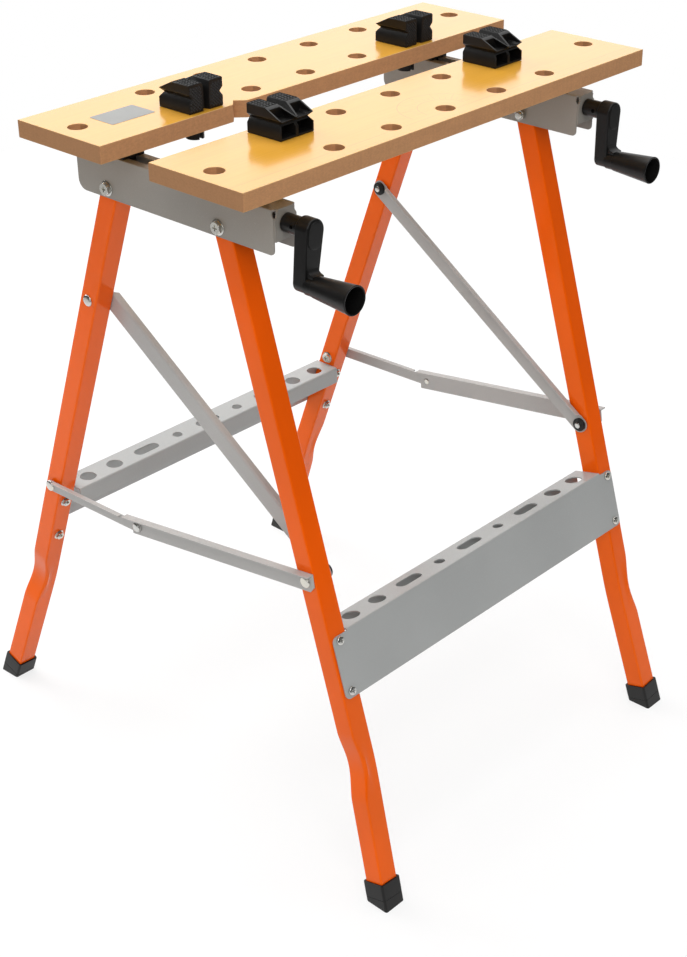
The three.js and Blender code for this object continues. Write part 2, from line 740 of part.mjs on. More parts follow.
// Bolt along X, from a head at from (facing away from to) to a nut at to with its threaded end
function bolt(from, to, head, nut) {
  const way = Math.sign(to - from);
  const pieces = [rod('x', PIVOT_DIAMETER / 2, order(from - way, to + way * nut.tail))];
  pieces.push(rod('x', head.radius, order(from - way * head.height, from), head.sides));
  if (nut.radius) pieces.push(rod('x', nut.radius, order(to, to + way * nut.height), nut.sides));
  return join(...pieces);
}

const HEX_HEAD = { radius: 7.2, height: 4.5, sides: 6 };
const SMALL_HEX_HEAD = { radius: 5.2, height: 4, sides: 6 };
const STUD_HEAD = { radius: 6.6, height: 4, sides: 6 };
const RIVET_HEAD = { radius: 6.5, height: 2.2, sides: PIN_SIDES };
const ELBOW_HEAD = { radius: 5.5, height: 2.2, sides: PIN_SIDES };
const HEX_NUT = { radius: 6.6, height: 5, sides: 6, tail: 7.5 };
const SMALL_HEX_NUT = { radius: 5.2, height: 4, sides: 6, tail: 6 };
const PLAIN_END = { radius: 0, height: 0, sides: 0, tail: 0 };

// Assembly
const bench = new THREE.Group();
const top = groupAt(bench, 0, 0, 0);

const frontJaw = add(top, 'front_jaw', board(null), laminate);
frontJaw.position.set(0, FRONT_JAW_Y, BOARD_BOTTOM);
const rearJaw = add(top, 'rear_jaw', board(-1.5 * HOLE_PITCH), laminate);
rearJaw.position.set(0, REAR_JAW_Y, BOARD_BOTTOM);

const DOG_X = ((HOLES_PER_ROW - 1) / 2) * HOLE_PITCH;
for (const [name, side] of SIDES) {
  const rearDog = add(top, `rear_dog_${name}`, dog(), blackPlastic);
  rearDog.position.set(side * DOG_X, REAR_JAW_Y - HOLE_ROW_SPACING / 2, TOP_HEIGHT);
  const frontDog = add(top, `front_dog_${name}`, dog(), blackPlastic);
  frontDog.position.set(side * DOG_X, FRONT_JAW_Y + HOLE_ROW_SPACING / 2, TOP_HEIGHT);
  frontDog.rotation.z = Math.PI;
}

for (const [name, side] of SIDES) {
  const rail = groupAt(top, side * SIDE_X, 0, 0);
  add(rail, `beam_${name}`, beam(), greyPaint);
  add(rail, `front_pad_${name}`, pad(), blackPlastic);
  add(rail, `slider_${name}`, slider(), blackPlastic);
  const spindle = groupAt(rail, 0, 0, SCREW_Z);
  add(spindle, `screw_${name}`, screw(), zinc);
  const handle = add(spindle, `crank_${name}`, crank(), blackPlastic);
  handle.rotation.y = side < 0 ? CRANK_LEAN_LEFT : CRANK_LEAN_RIGHT;
  for (const [end, y] of [
    ['front', FRONT_HINGE_Y],
    ['rear', REAR_HINGE_Y],
  ]) {
    const reach = HALF_BEAM + TOUCH;
    const shape = bolt(side * reach, -side * reach, HEX_HEAD, HEX_NUT);
    const pin = add(rail, `${end}_leg_bolt_${name}`, shape, zinc);
    pin.position.set(0, y, HINGE_Z);
  }
}

// A pair of legs with its tray, hung on its hinge line
function legPair(end, hingeY, turn, splay, face, trayAt, pivots) {
  const pair = groupAt(bench, 0, hingeY, HINGE_Z);
  pair.rotation.x = turn;
  add(pair, `${end}_tray`, tray(face, trayAt), greyPaint);
  for (const [name, side] of SIDES) {
    const upper = groupAt(pair, side * SIDE_X, 0, 0);
    add(upper, `${end}_leg_${name}`, leg(side, splay, pivots, trayAt), orangePaint);
    const lower = groupAt(upper, 0, 0, -LEG_SET_AT);
    lower.rotation.y = -side * LEG_SET;
    bench.updateMatrixWorld(true);
    const floor = box(span(0, 4 * BOARD_LENGTH), span(0, 4 * BOARD_LENGTH), [-BOARD_LENGTH, 0]);
    floor.applyMatrix4(lower.matrixWorld.clone().invert());
    add(lower, `${end}_foot_${name}`, foot(splay, floor), blackPlastic);
    trayScrews(trayAt).forEach((at, i) => {
      const level = i === 0 ? 'upper' : 'lower';
      const pin = add(upper, `${end}_tray_bolt_${level}_${name}`, trayBolt(face), zinc);
      pin.position.z = -at;
    });
  }
  return pair;
}

legPair('front', FRONT_HINGE_Y, -FRONT_SPLAY, FRONT_SPLAY, -1, FRONT_TRAY_AT, [0, STRUT_FRONT_AT]);
legPair('rear', REAR_HINGE_Y, REAR_SPLAY, REAR_SPLAY, 1, REAR_TRAY_AT, [0, STRUT_REAR_AT, STAY_REAR_AT]);

// Places of the linkage's pivots in the YZ plane
function onLeg(hingeY, lean, at) {
  return new THREE.Vector2(hingeY + at * Math.sin(lean), HINGE_Z - at * Math.cos(lean));
}

const frontPivot = onLeg(FRONT_HINGE_Y, -FRONT_SPLAY, STRUT_FRONT_AT);
const strutHead = onLeg(REAR_HINGE_Y, REAR_SPLAY, STRUT_REAR_AT);
const stayTail = onLeg(REAR_HINGE_Y, REAR_SPLAY, STAY_REAR_AT);
const strutLine = strutHead.clone().sub(frontPivot);
const stayLine = frontPivot.clone().sub(stayTail);
const elbow = stayTail.clone().addScaledVector(stayLine, ELBOW_SHARE);
elbow.addScaledVector(new THREE.Vector2(-stayLine.y, stayLine.x).normalize(), ELBOW_DROP);
const longLine = elbow.clone().sub(frontPivot);
const shortLine = stayTail.clone().sub(elbow);

function linkGroup(side, pivot, line) {
  const group = groupAt(bench, side * SIDE_X, pivot.x, pivot.y);
  group.rotation.x = Math.atan2(line.y, line.x);
  return group;
}

for (const [name, side] of SIDES) {
  const strutEnd = -side * (HALF_LEG + 2 * TOUCH + SHEET);
  const washer = () => {
    const ring = [strutEnd - side * TOUCH, strutEnd - side * (TOUCH + WASHER_THICK)];
    const disc = solid(rod('x', STRUT_WIDTH / 2 - 2 * SHEET, order(...ring)));
    return cut(disc, rod('x', PIVOT_DIAMETER / 2 + CLEAR, span(0, 4 * LEG_WIDTH)));
  };
  const nutFace = strutEnd - side * (2 * TOUCH + WASHER_THICK);

  const strutGroup = linkGroup(side, frontPivot, strutLine);
  add(strutGroup, `strut_${name}`, strut(side, strutLine.length()), greyPaint);
  add(strutGroup, `strut_foot_washer_${name}`, washer(), blackPlastic);
  const headWasher = add(strutGroup, `strut_head_washer_${name}`, washer(), blackPlastic);
  const headBolt = add(
    strutGroup,
    `strut_head_bolt_${name}`,
    bolt(nutFace, -side * (HALF_LEG + 2 * TOUCH), SMALL_HEX_HEAD, PLAIN_END),
    zinc,
  );
  headWasher.position.y = strutLine.length();
  headBolt.position.y = strutLine.length();

  const longGroup = linkGroup(side, frontPivot, longLine);
  add(longGroup, `stay_long_link_${name}`, longLink(side, longLine.length()), greyPaint);
  const linkOuter = side * (LINK_INNER + SHEET + TOUCH);
  const elbowOuter = linkOuter + side * (SHEET + TOUCH);
  const elbowRivet = add(
    longGroup,
    `stay_elbow_rivet_${name}`,
    bolt(elbowOuter, side * HALF_LEG, ELBOW_HEAD, PLAIN_END),
    zinc,
  );
  elbowRivet.position.y = longLine.length();
  add(longGroup, `front_link_bolt_${name}`, bolt(linkOuter, nutFace, RIVET_HEAD, SMALL_HEX_NUT), zinc);

  const shortGroup = linkGroup(side, elbow, shortLine);
  add(shortGroup, `stay_short_link_${name}`, shortLink(side, shortLine.length()), greyPaint);
  const tailRivet = add(
    shortGroup,
    `stay_tail_rivet_${name}`,
    bolt(elbowOuter, linkOuter, RIVET_HEAD, PLAIN_END),
    zinc,
  );
  tailRivet.position.y = shortLine.length();

  add(
    linkGroup(side, strutHead, strutLine),
    `strut_head_rivet_${name}`,
    bolt(side * (HALF_LEG + TOUCH), -side * HALF_LEG, RIVET_HEAD, PLAIN_END),
    zinc,
  );
  add(
    linkGroup(side, stayTail, shortLine),
    `stay_tail_stud_${name}`,
    bolt(-side * (HALF_LEG + TOUCH), side * (LINK_INNER + SHEET), STUD_HEAD, PLAIN_END),
    zinc,
  );
}

export default bench;
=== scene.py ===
"""Looks of a folding workbench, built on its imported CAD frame.

Metres, +Z up, -Y towards the cranks, as in the frame.
"""

import json
from math import asin, atan2, copysign, cos, degrees, pi, radians, sin, sqrt

import bmesh
import bpy
from bpy.types import Operator, Panel, PropertyGroup, Scene
from mathutils import Matrix, Vector

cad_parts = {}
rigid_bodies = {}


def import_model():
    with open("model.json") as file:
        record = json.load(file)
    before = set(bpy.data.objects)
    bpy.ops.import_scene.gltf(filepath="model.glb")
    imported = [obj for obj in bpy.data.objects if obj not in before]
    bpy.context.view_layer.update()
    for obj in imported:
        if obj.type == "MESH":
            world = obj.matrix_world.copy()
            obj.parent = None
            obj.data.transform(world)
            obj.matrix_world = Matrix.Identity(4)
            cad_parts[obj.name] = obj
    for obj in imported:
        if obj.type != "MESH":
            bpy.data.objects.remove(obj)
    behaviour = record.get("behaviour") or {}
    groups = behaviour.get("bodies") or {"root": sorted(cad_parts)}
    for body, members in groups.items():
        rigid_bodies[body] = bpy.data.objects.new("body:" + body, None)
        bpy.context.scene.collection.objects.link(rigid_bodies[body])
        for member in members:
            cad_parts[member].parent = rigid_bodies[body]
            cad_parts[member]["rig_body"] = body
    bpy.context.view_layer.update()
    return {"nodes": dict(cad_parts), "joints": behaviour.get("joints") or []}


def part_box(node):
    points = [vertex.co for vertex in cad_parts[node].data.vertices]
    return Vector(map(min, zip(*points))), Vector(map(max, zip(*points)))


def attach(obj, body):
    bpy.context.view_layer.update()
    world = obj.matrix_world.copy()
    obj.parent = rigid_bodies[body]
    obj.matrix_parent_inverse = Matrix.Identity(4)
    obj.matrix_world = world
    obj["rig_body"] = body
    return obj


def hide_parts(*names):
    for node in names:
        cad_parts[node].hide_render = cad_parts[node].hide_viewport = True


bl_info = {
    "name": "Folding workbench",
    "version": (1, 0, 0),
    "blender": (4, 5, 0),
    "location": "3D View > Sidebar > Workbench",
    "description": "Dresses the CAD frame of a folding workbench",
    "category": "Object",
}

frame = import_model()

MM = 0.001
SIDES = (("left", -1), ("right", 1))

# Places on the frame, read from the CAD
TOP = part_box("front_jaw")[1].z
SIDE_X = sum(corner.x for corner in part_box("beam_right")) / 2
JOINTS = {joint["name"]: joint for joint in frame["joints"]}
SCREW_Z = JOINTS["vice_turn_left"]["pos_m"][2]
FRONT_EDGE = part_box("front_jaw")[0].y
TAB_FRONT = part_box("beam_left")[0].y
BEAM_FRONT = TAB_FRONT + 1.5 * MM

# Each end's hinge, its legs' turn from upright, the way its tray faces, and the tray's top along the leg
ENDS = {
    "front": (Vector(JOINTS["fold"]["pos_m"]), radians(-16.3), -1, 429 * MM),
    "rear": (Vector(JOINTS["rear_fold"]["pos_m"]), radians(20.4), 1, 437.5 * MM),
}

# Angle from which edges are shaded sharp
SHARP = radians(35)


def shift(x, y, z):
    return Matrix.Translation((x, y, z))


def spin(angle, axis):
    return Matrix.Rotation(angle, 4, axis)


# Turns for pieces drawn about Z
ALONG_Y = spin(-pi / 2, "X")
UPRIGHT = spin(pi / 2, "X")
SIDEWAYS = Matrix(((0, 0, 1, 0), (1, 0, 0, 0), (0, 1, 0, 0), (0, 0, 0, 1)))


# Shader building


def operator(operation, reflected=False):
    """A method that adds a Math node, with the operands the other way round for a reflected form."""

    def method(self, other=0.0):
        first, second = (other, self) if reflected else (self, other)
        return self.maths(operation, first, second)

    return method


def both(operation):
    """An operator and its reflected form."""
    return operator(operation), operator(operation, True)


class Socket:
    """An output of a finish's node tree. Arithmetic on it adds Math nodes."""

    def __init__(self, finish, socket):
        self.finish = finish
        self.socket = socket

    def maths(self, operation, first, second):
        return self.finish.node("ShaderNodeMath", {"operation": operation}, {0: first, 1: second})

    __add__, __radd__ = both("ADD")
    __sub__, __rsub__ = both("SUBTRACT")
    __mul__, __rmul__ = both("MULTIPLY")
    __mod__, __rmod__ = both("FLOORED_MODULO")
    __or__, __ror__ = both("MAXIMUM")
    # Each of these two is the other's reflected form
    __lt__, __gt__ = operator("LESS_THAN"), operator("GREATER_THAN")
    __abs__, root = operator("ABSOLUTE"), operator("SQRT")


class Finish:
    """A material, or a world, under construction."""

    def __init__(self, name, library=None):
        self.material = (bpy.data.materials if library is None else library).new(name)
        self.material.use_nodes = True
        self.tree = self.material.node_tree
        self.tree.nodes.clear()

    def node(self, kind, settings=None, inputs=None, output=0):
        """Adds a node, sets it up and returns one of its outputs."""
        node = self.tree.nodes.new(kind)
        for key, value in (settings or {}).items():
            setattr(node, key, value)
        for key, value in (inputs or {}).items():
            if isinstance(value, Socket):
                self.tree.links.new(value.socket, node.inputs[key])
            else:
                node.inputs[key].default_value = value
        return Socket(self, node.outputs[output]) if node.outputs else None

    def place(self, output="Object"):
        """Coordinates on the piece, in metres for Object."""
        return self.node("ShaderNodeTexCoord", output=output)

    def axis(self, name, output="Object"):
        """One coordinate on the piece."""
        return self.node("ShaderNodeSeparateXYZ", {}, {0: self.place(output)}, name)

    def ray(self, kind):
        """Whether a ray is of a kind, such as Camera."""
        return self.node("ShaderNodeLightPath", output=f"Is {kind} Ray")

    def noise(self, scale, detail=2.0, roughness=0.5, stretch=(1, 1, 1)):
        spot = self.node("ShaderNodeVectorMath", {"operation": "MULTIPLY"}, {0: self.place(), 1: stretch})
        values = {"Vector": spot, "Scale": scale, "Detail": detail, "Roughness": roughness}
        return self.node("ShaderNodeTexNoise", {}, values)

    def between(self, value, low, high):
        """0 below low and 1 above high."""
        values = {"Value": value, "From Min": low, "From Max": high}
        return self.node("ShaderNodeMapRange", {"interpolation_type": "SMOOTHSTEP"}, values)

    def blend(self, factor, first, second):
        return self.node("ShaderNodeMix", {"data_type": "RGBA"}, {0: factor, 6: solid(first), 7: solid(second)}, 2)

    def mottle(self, value, base, dark, light):
        """A base colour that drifts with a noise between two shares of itself."""
        return self.blend(self.between(value, 0.3, 0.7), base * dark, base * light)

    def bump(self, height, strength, distance):
        return self.node("ShaderNodeBump", {}, {"Strength": strength, "Distance": distance, "Height": height})

    def surface(self, **inputs):
        """Ends the material with a Principled BSDF."""
        values = {key.replace("_", " ").title().replace("Ior", "IOR"): solid(inputs[key]) for key in inputs}
        shader = self.node("ShaderNodeBsdfPrincipled", {}, values)
        self.node("ShaderNodeOutputMaterial", {}, {"Surface": shader})
        return self.material


def solid(colour):
    """A colour with its alpha, or anything else as it is."""
    return colour if isinstance(colour, (Socket, int, float)) else (*colour, 1.0)


# Settings


def setting(kind, **traits):
    """A maker of settings of one kind, each from a name, a description and a default."""
    return lambda name, text, default: kind(name=name, description=text, default=default, **traits)


colour_setting = setting(bpy.props.FloatVectorProperty, subtype="COLOR", min=0, max=1)
length_setting = setting(bpy.props.FloatProperty, subtype="DISTANCE", unit="LENGTH")
angle_setting = setting(bpy.props.FloatProperty, subtype="ANGLE", unit="ROTATION")
power_setting = setting(bpy.props.FloatProperty, unit="POWER", min=0)
strength_setting = setting(bpy.props.FloatProperty, min=0)


class WorktopSettings(PropertyGroup):
    """The two jaws of the worktop."""

    laminate: colour_setting("Laminate", "Colour of the worktop's printed face", (0.78, 0.385, 0.043))
    fibre: colour_setting("Fibreboard", "Colour of the cut edges", (0.53, 0.27, 0.125))
    marks: colour_setting("Marks", "Colour of the printed scale and dial", (0.24, 0.12, 0.035))
    foil: colour_setting("Foil", "Colour of the blank foil plate", (0.3, 0.3, 0.29))
    edge: length_setting("Edge rounding", "Rounding of the boards' edges", 0.5 * MM)
    hole: length_setting("Hole diameter", "Diameter of the dog holes", 20 * MM)
    pitch: length_setting("Hole pitch", "Distance between dog holes along the board", 80 * MM)
    rows: length_setting("Row spacing", "Distance between the two rows of dog holes", 73 * MM)
    inset: length_setting("End hole inset", "Distance of the end holes from the board's end", 24.5 * MM)


class FrameSettings(PropertyGroup):
    """Painted tubes and folded sheet."""

    orange: colour_setting("Leg paint", "Colour of the tube legs", (0.92, 0.108, 0.0008))
    grey: colour_setting("Tray paint", "Colour of the trays", (0.395, 0.405, 0.4))
    # Painted shade: the beams' grey is set darker and warmer than the trays' grey, for the shade and warm bounce
    # under the worktop.
    beam: colour_setting("Beam paint", "Colour of the beams", (0.3, 0.28, 0.25))
    # Painted light: the struts' and stays' grey is set lighter than the trays' grey, for the light they catch from
    # the left.
    stay: colour_setting("Stay paint", "Colour of the struts and stays", (0.44, 0.43, 0.415))
    tube: length_setting("Tube width", "Outside width of the square tube", 24 * MM)
    corner: length_setting("Tube corner", "Outside corner radius of the tube", 2 * MM)
    bend: length_setting("Bend place", "Distance of the legs' bend from the hinge", 584 * MM)
    set: angle_setting("Leg set", "Outward turn of the legs below the bend", radians(4.05))
    dent: length_setting("Bend dent", "Depth of the crushed wall at the bend", 5 * MM)
    level: angle_setting("Rear flange", "Turn of the rear tray's flange towards level", radians(20))


class FittingSettings(PropertyGroup):
    """Plastic and plated fittings."""

    plastic: colour_setting("Plastic", "Colour of the moulded fittings", (0.0065, 0.0062, 0.006))
    lean_left: angle_setting("Left crank", "Turn of the left crank from straight down", radians(7.5))
    lean_right: angle_setting("Right crank", "Turn of the right crank from straight down", radians(2.5))
    plate: colour_setting("Zinc", "Colour of the plated fasteners", (0.6, 0.6, 0.58))


class StageSettings(PropertyGroup):
    """Camera, light and floor."""

    ambient: strength_setting("Ambient", "Strength of the surrounding white light", 0.46)
    key: power_setting("Key light", "Power of the front left lamp", 44.0)
    softbox: power_setting("Softbox", "Power of the wide lamp behind the bench", 7.0)
    overhead: power_setting("Overhead", "Power of the lamp above the bench", 60.0)
    back: power_setting("Back light", "Power of the small lamp behind the bench", 42.0)
    fill: power_setting("Fill", "Power of the low lamp on the left", 6.0)
    floor: colour_setting("Floor", "Colour of the plain floor", (0.56, 0.56, 0.56))


def settings(name):
    return getattr(bpy.context.scene, "bench_" + name)


# Finishes


def scale_marks(finish):
    """The printed rule along the front edge and the dial behind it, placed by their inset from that edge."""
    pitch, long_pitch, inner, outer = 5 * MM, 25 * MM, 28 * MM, 48 * MM
    x, inset = finish.axis("X"), finish.axis("Y") - FRONT_EDGE
    rule = ((x % pitch) < 0.4 * MM) * (inset < 4 * MM)
    rule = rule | ((x % long_pitch) < 0.5 * MM) * (inset < 7 * MM)
    line = abs(inset - 17.3 * MM) < 0.25 * MM
    away = inset - 25.5 * MM
    radius = (x * x + away * away).root()
    angle = x.maths("ARCTAN2", away, x)
    rings = (abs(radius - outer) < 0.3 * MM) | (abs(radius - inner) < 0.3 * MM)
    rays = ((angle % radians(10)) < 0.012) * (radius > 31 * MM) * (radius < 36 * MM)
    rays = rays | ((angle % radians(30)) < 0.008) * (radius > 36 * MM) * (radius < outer)
    return (rule | line | (rings | rays) * (away > 0)) * (finish.axis("Z") > TOP - 5 * MM)


def make_laminate():
    finish = Finish("laminate")
    worktop = settings("worktop")
    base = Vector(worktop.laminate)
    streaks = finish.noise(1, 3, 0.6, (9, 420, 60))
    figure = finish.noise(1, stretch=(3, 30, 30))
    tone = finish.mottle(streaks * 0.55 + figure * 0.45, base, 0.93, 1.05)
    tone = finish.blend(scale_marks(finish) * 0.5, tone, worktop.marks)
    rough = 0.2 + finish.noise(50, 3) * 0.06
    return finish.surface(base_color=tone, roughness=rough, coat_weight=0.8, coat_roughness=0.12)


def make_fibre():
    finish = Finish("fibreboard")
    base = Vector(settings("worktop").fibre)
    fibres = finish.noise(600, 4, 0.65, (0.6, 0.6, 1))
    sawn = finish.noise(1, stretch=(260, 260, 14))
    clouds = finish.noise(45, stretch=(0.4, 0.4, 2.4))
    tone = finish.mottle(fibres, base, 0.9, 1.08)
    tone = finish.blend(finish.between(sawn, 0.4, 0.7) * 0.3, tone, base * 0.82)
    tone = finish.blend(finish.between(clouds, 0.45, 0.7) * 0.3, tone, base * 1.16)
    rim = finish.between(abs(finish.axis("Z") - (TOP - 9 * MM)), 8.4 * MM, 8.7 * MM)
    tone = finish.blend(rim * 0.8, tone, (0.66, 0.42, 0.18))
    # Painted shade: faces turned along X, which are the board's ends and those sides of the dog holes, are darkened
    # towards half the fibre's colour.
    x_face_shade = abs(finish.axis("X", "Normal")) > 0.8
    tone = finish.blend(x_face_shade * 0.5, tone, base * 0.5)
    pile = finish.bump(fibres, 0.25, 0.2 * MM)
    return finish.surface(base_color=tone, roughness=0.7, specular_ior_level=0.2, normal=pile)


def make_foil():
    finish = Finish("foil")
    base = Vector(settings("worktop").foil)
    drift = finish.noise(40, 3)
    brushed = finish.noise(1, stretch=(60, 2400, 1))
    tone = finish.mottle(drift * 0.5 + brushed * 0.5, base, 0.94, 1.06)
    return finish.surface(base_color=tone, metallic=0.2, roughness=0.42 + drift * 0.1)


def make_orange():
    finish = Finish("orange_paint")
    base = Vector(settings("frame").orange)
    drift = finish.noise(9)
    peel = finish.noise(420)
    return finish.surface(
        base_color=finish.mottle(drift, base, 0.95, 1.05),
        roughness=0.1 + finish.noise(35, 3) * 0.08,
        specular_ior_level=0.4,
        specular_tint=(1.0, 0.8, 0.25),
        normal=finish.bump(peel, 0.04, 0.2 * MM),
    )


def make_grey(shade="grey"):
    finish = Finish(shade + "_paint")
    base = Vector(getattr(settings("frame"), shade))
    drift = finish.noise(11)
    grain = finish.noise(1600, 2, 0.6)
    tone = finish.mottle(drift, base, 0.97, 1.03)
    tone = finish.blend(finish.between(grain, 0.45, 0.75) * 0.2, tone, base * 1.2)
    rough, skin = 0.22 + grain * 0.08, finish.bump(grain, 0.06, 0.15 * MM)
    return finish.surface(base_color=tone, roughness=rough, specular_ior_level=0.5, normal=skin)


def make_plastic():
    finish = Finish("black_plastic")
    base = Vector(settings("fittings").plastic)
    grain = finish.noise(1300, 2, 0.6)
    drift = finish.noise(25, 3)
    tone = finish.mottle(drift, base, 0.8, 1.25)
    rough, skin = 0.3 + drift * 0.12, finish.bump(grain, 0.14, 0.2 * MM)
    return finish.surface(base_color=tone, roughness=rough, specular_ior_level=0.3, normal=skin)


def make_zinc():
    finish = Finish("zinc")
    base = Vector(settings("fittings").plate)
    cloud = finish.noise(260, 3)
    tint = finish.noise(45)
    tone = finish.blend(finish.between(tint, 0.35, 0.65), base, (0.66, 0.64, 0.57))
    rough, skin = 0.16 + cloud * 0.14, finish.bump(cloud, 0.08, 0.2 * MM)
    return finish.surface(base_color=tone, metallic=1.0, roughness=rough, normal=skin)


FINISHES = {
    "laminate": make_laminate,
    "fibre": make_fibre,
    "foil": make_foil,
    "orange_paint": make_orange,
    "grey_paint": make_grey,
    # Painted shade: the beams take a darker, warmer copy of the grey paint.
    "beam_paint": lambda: make_grey("beam"),
    # Painted light: the struts and stays take a lighter copy of the grey paint.
    "stay_paint": lambda: make_grey("stay"),
    "black_plastic": make_plastic,
    "zinc": make_zinc,
}
MADE = {}


def material(name):
    """The material of that name, made on first use."""
    if name not in MADE:
        MADE[name] = FINISHES[name]()
    return MADE[name]


# Mesh building


def mesh_of(name, bm):
    """Mesh data from a bmesh, which is then freed, with its faces outwards."""
    bmesh.ops.recalc_face_normals(bm, faces=bm.faces)
    mesh = bpy.data.meshes.new(name)
    bm.to_mesh(mesh)
    bm.free()
    return mesh


def linked(name, data):
    """An object of some data, in the scene."""
    thing = bpy.data.objects.new(name, data)
    bpy.context.scene.collection.objects.link(thing)
    return thing


def put(name, bm, slot, node, finishes=None, extra=False):
    """Turns a bmesh into a piece on a CAD node's body, in place of that node unless it is an extra."""
    mesh = mesh_of(name, bm)
    mesh.polygons.foreach_set("use_smooth", [True] * len(mesh.polygons))
    mesh.set_sharp_from_angle(angle=SHARP)
    for finish_name in finishes or (slot,):
        mesh.materials.append(material(finish_name))
    piece = linked(name, mesh)
    piece.modifiers.new("weights", "WEIGHTED_NORMAL").keep_sharp = True
    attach(piece, frame["nodes"][node]["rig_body"])
    if not extra:
        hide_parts(node)


def clamped(value):
    return min(1, max(0, value))


def eased(value):
    """From 0 to 1 with a soft start and end."""
    share = clamped(value)
    return share * share * (3 - 2 * share)


def on_leg(end, x, down=0.0):
    """A place at x, some way down from an end's hinge, turned as the legs are."""
    hinge, turn, _, _ = ENDS[end]
    spot = shift(x, hinge.y, hinge.z) @ spin(turn, "X")
    return spot @ shift(0, 0, -down)


def pivot(node):
    """The middle of a fastener's box, in the plane of the fold."""
    low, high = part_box(node)
    return Vector((0, (low.y + high.y) / 2, (low.z + high.z) / 2))


def softened(node, width, bend=0.0):
    """A copy of a CAD node with its creases rounded, its folds to the bend radius where given."""
    bm = bmesh.new()
    bm.from_mesh(frame["nodes"][node].data)
    bmesh.ops.remove_doubles(bm, verts=bm.verts, dist=0.002 * MM)
    bmesh.ops.dissolve_limit(bm, angle_limit=radians(1), verts=bm.verts, edges=bm.edges)
    if bend:
        rounded(bm, [edge for edge in bm.edges if edge.is_convex and is_fold(edge)], bend, 4)
        rounded(bm, [edge for edge in bm.edges if not edge.is_convex and is_fold(edge)], bend / 3, 3)
    creases = [edge for edge in bm.edges if edge.is_manifold and edge.calc_face_angle(0) > radians(40)]
    rounded(bm, creases, width, 2)
    return bm


def is_fold(edge):
    """Whether a long edge joins two wide faces, as where sheet is folded."""
    long, wide, crease = 100 * MM, 5 * MM, radians(60)
    length = edge.calc_length()
    if not edge.is_manifold or length < long or edge.calc_face_angle(0) < crease:
        return False
    return all(face.calc_area() > wide * length for face in edge.link_faces)


def rounded(bm, edges, width, segments):
    shape = {"offset_type": "OFFSET", "profile": 0.5, "affect": "EDGES", "clamp_overlap": True}
    bmesh.ops.bevel(bm, geom=edges, offset=width, segments=segments, **shape)


def soften(nodes, slot, width, bend=0.0, finishes=None):
    for node in nodes:
        put("soft_" + node, softened(node, width, bend), slot, node, finishes)


def loft(rings):
    """A closed skin over a list of rings of points."""
    bm = bmesh.new()
    rows = [[bm.verts.new(point) for point in ring] for ring in rings]
    for row, following in zip(rows, rows[1:]):
        for i in range(len(row)):
            j = (i + 1) % len(row)
            bm.faces.new((row[i], row[j], following[j], following[i]))
    bm.faces.new(rows[0])
    bm.faces.new(rows[-1])
    return bm


def circle(x, y, radius, steps=48):
    return arc(x, y, radius, 0, 360, steps)[:-1]


def arc(x, y, radius, start, stop, steps=16):
    """Points of an arc between two angles in degrees."""
    points = []
    for i in range(steps + 1):
        angle = radians(start + (stop - start) * i / steps)
        points.append((x + radius * cos(angle), y + radius * sin(angle)))
    return points


def rounded_box(left, right, near, far, corner):
    """Points round a box with round corners, whose middles are at the given sides."""
    points = arc(right, near, corner, -90, 0, 6) + arc(right, far, corner, 0, 90, 6)
    return points + arc(left, far, corner, 90, 180, 6) + arc(left, near, corner, 180, 270, 6)


def ring(radius, height, steps=48):
    return [Vector((x, y, height)) for x, y in circle(0, 0, radius, steps)]


def hex_ring(radius, height, limit, steps=48):
    """A hexagon of that corner radius, with its corners cut back to limit."""
    points = []
    for i in range(steps):
        angle = 2 * pi * i / steps
        flat = radius * cos(pi / 6) / cos(angle % (pi / 3) - pi / 6)
        reach = min(flat, limit)
        points.append(Vector((reach * cos(angle), reach * sin(angle), height)))
    return points


def turned(profile, steps=48):
    """A closed body turned about Z from radius and height pairs."""
    return loft([ring(radius, height, steps) for radius, height in profile])


def helix(start, stop, root, crest, pitch, steps=20):
    """A screw's ridge about Z, faded in and out over one turn."""
    count = int((stop - start) / pitch * steps)
    rings = []
    for i in range(count + 1):
        angle = 2 * pi * i / steps
        top = root + (crest - root) * min(1, max(0.05, min(i, count - i) / steps))
        rise = start + pitch * i / steps
        section = ((root, 0.02), (top, 0.3), (top, 0.55), (root, 0.83))
        rings.append([(r * cos(angle), r * sin(angle), rise + pitch * up) for r, up in section])
    return loft(rings)


def joined(*parts):
    """One bmesh out of several."""
    bm = bmesh.new()
    for part in parts:
        mesh = mesh_of("part", part)
        bm.from_mesh(mesh)
        bpy.data.meshes.remove(mesh)
    return bm


def holder_of(bm):
    """A passing object for a bmesh."""
    return linked("passing", mesh_of("passing", bm))


def taken(holder):
    """The evaluated mesh of a passing object, which is then removed."""
    bpy.context.view_layer.update()
    evaluated = holder.evaluated_get(bpy.context.evaluated_depsgraph_get())
    mesh = bpy.data.meshes.new_from_object(evaluated)
    bm = bmesh.new()
    bm.from_mesh(mesh)
    bpy.data.batch_remove((holder, holder.data, mesh))
    return bm


def carved(bm, *tools):
    """Cuts closed bmeshes out of another."""
    body = holder_of(bm)
    cutters = [holder_of(tool) for tool in tools]
    for cutter in cutters:
        cut = body.modifiers.new("cut", "BOOLEAN")
        cut.object = cutter
        cut.solver = "EXACT"
    result = taken(body)
    for cutter in cutters:
        bpy.data.batch_remove((cutter, cutter.data))
    return result


def placed(bm, matrix):
    bm.transform(matrix)
    return bm


def bar(corners, heights):
    """A prism over a flat outline of x and y."""
    return loft([[(x, y, height) for x, y in corners] for height in heights])


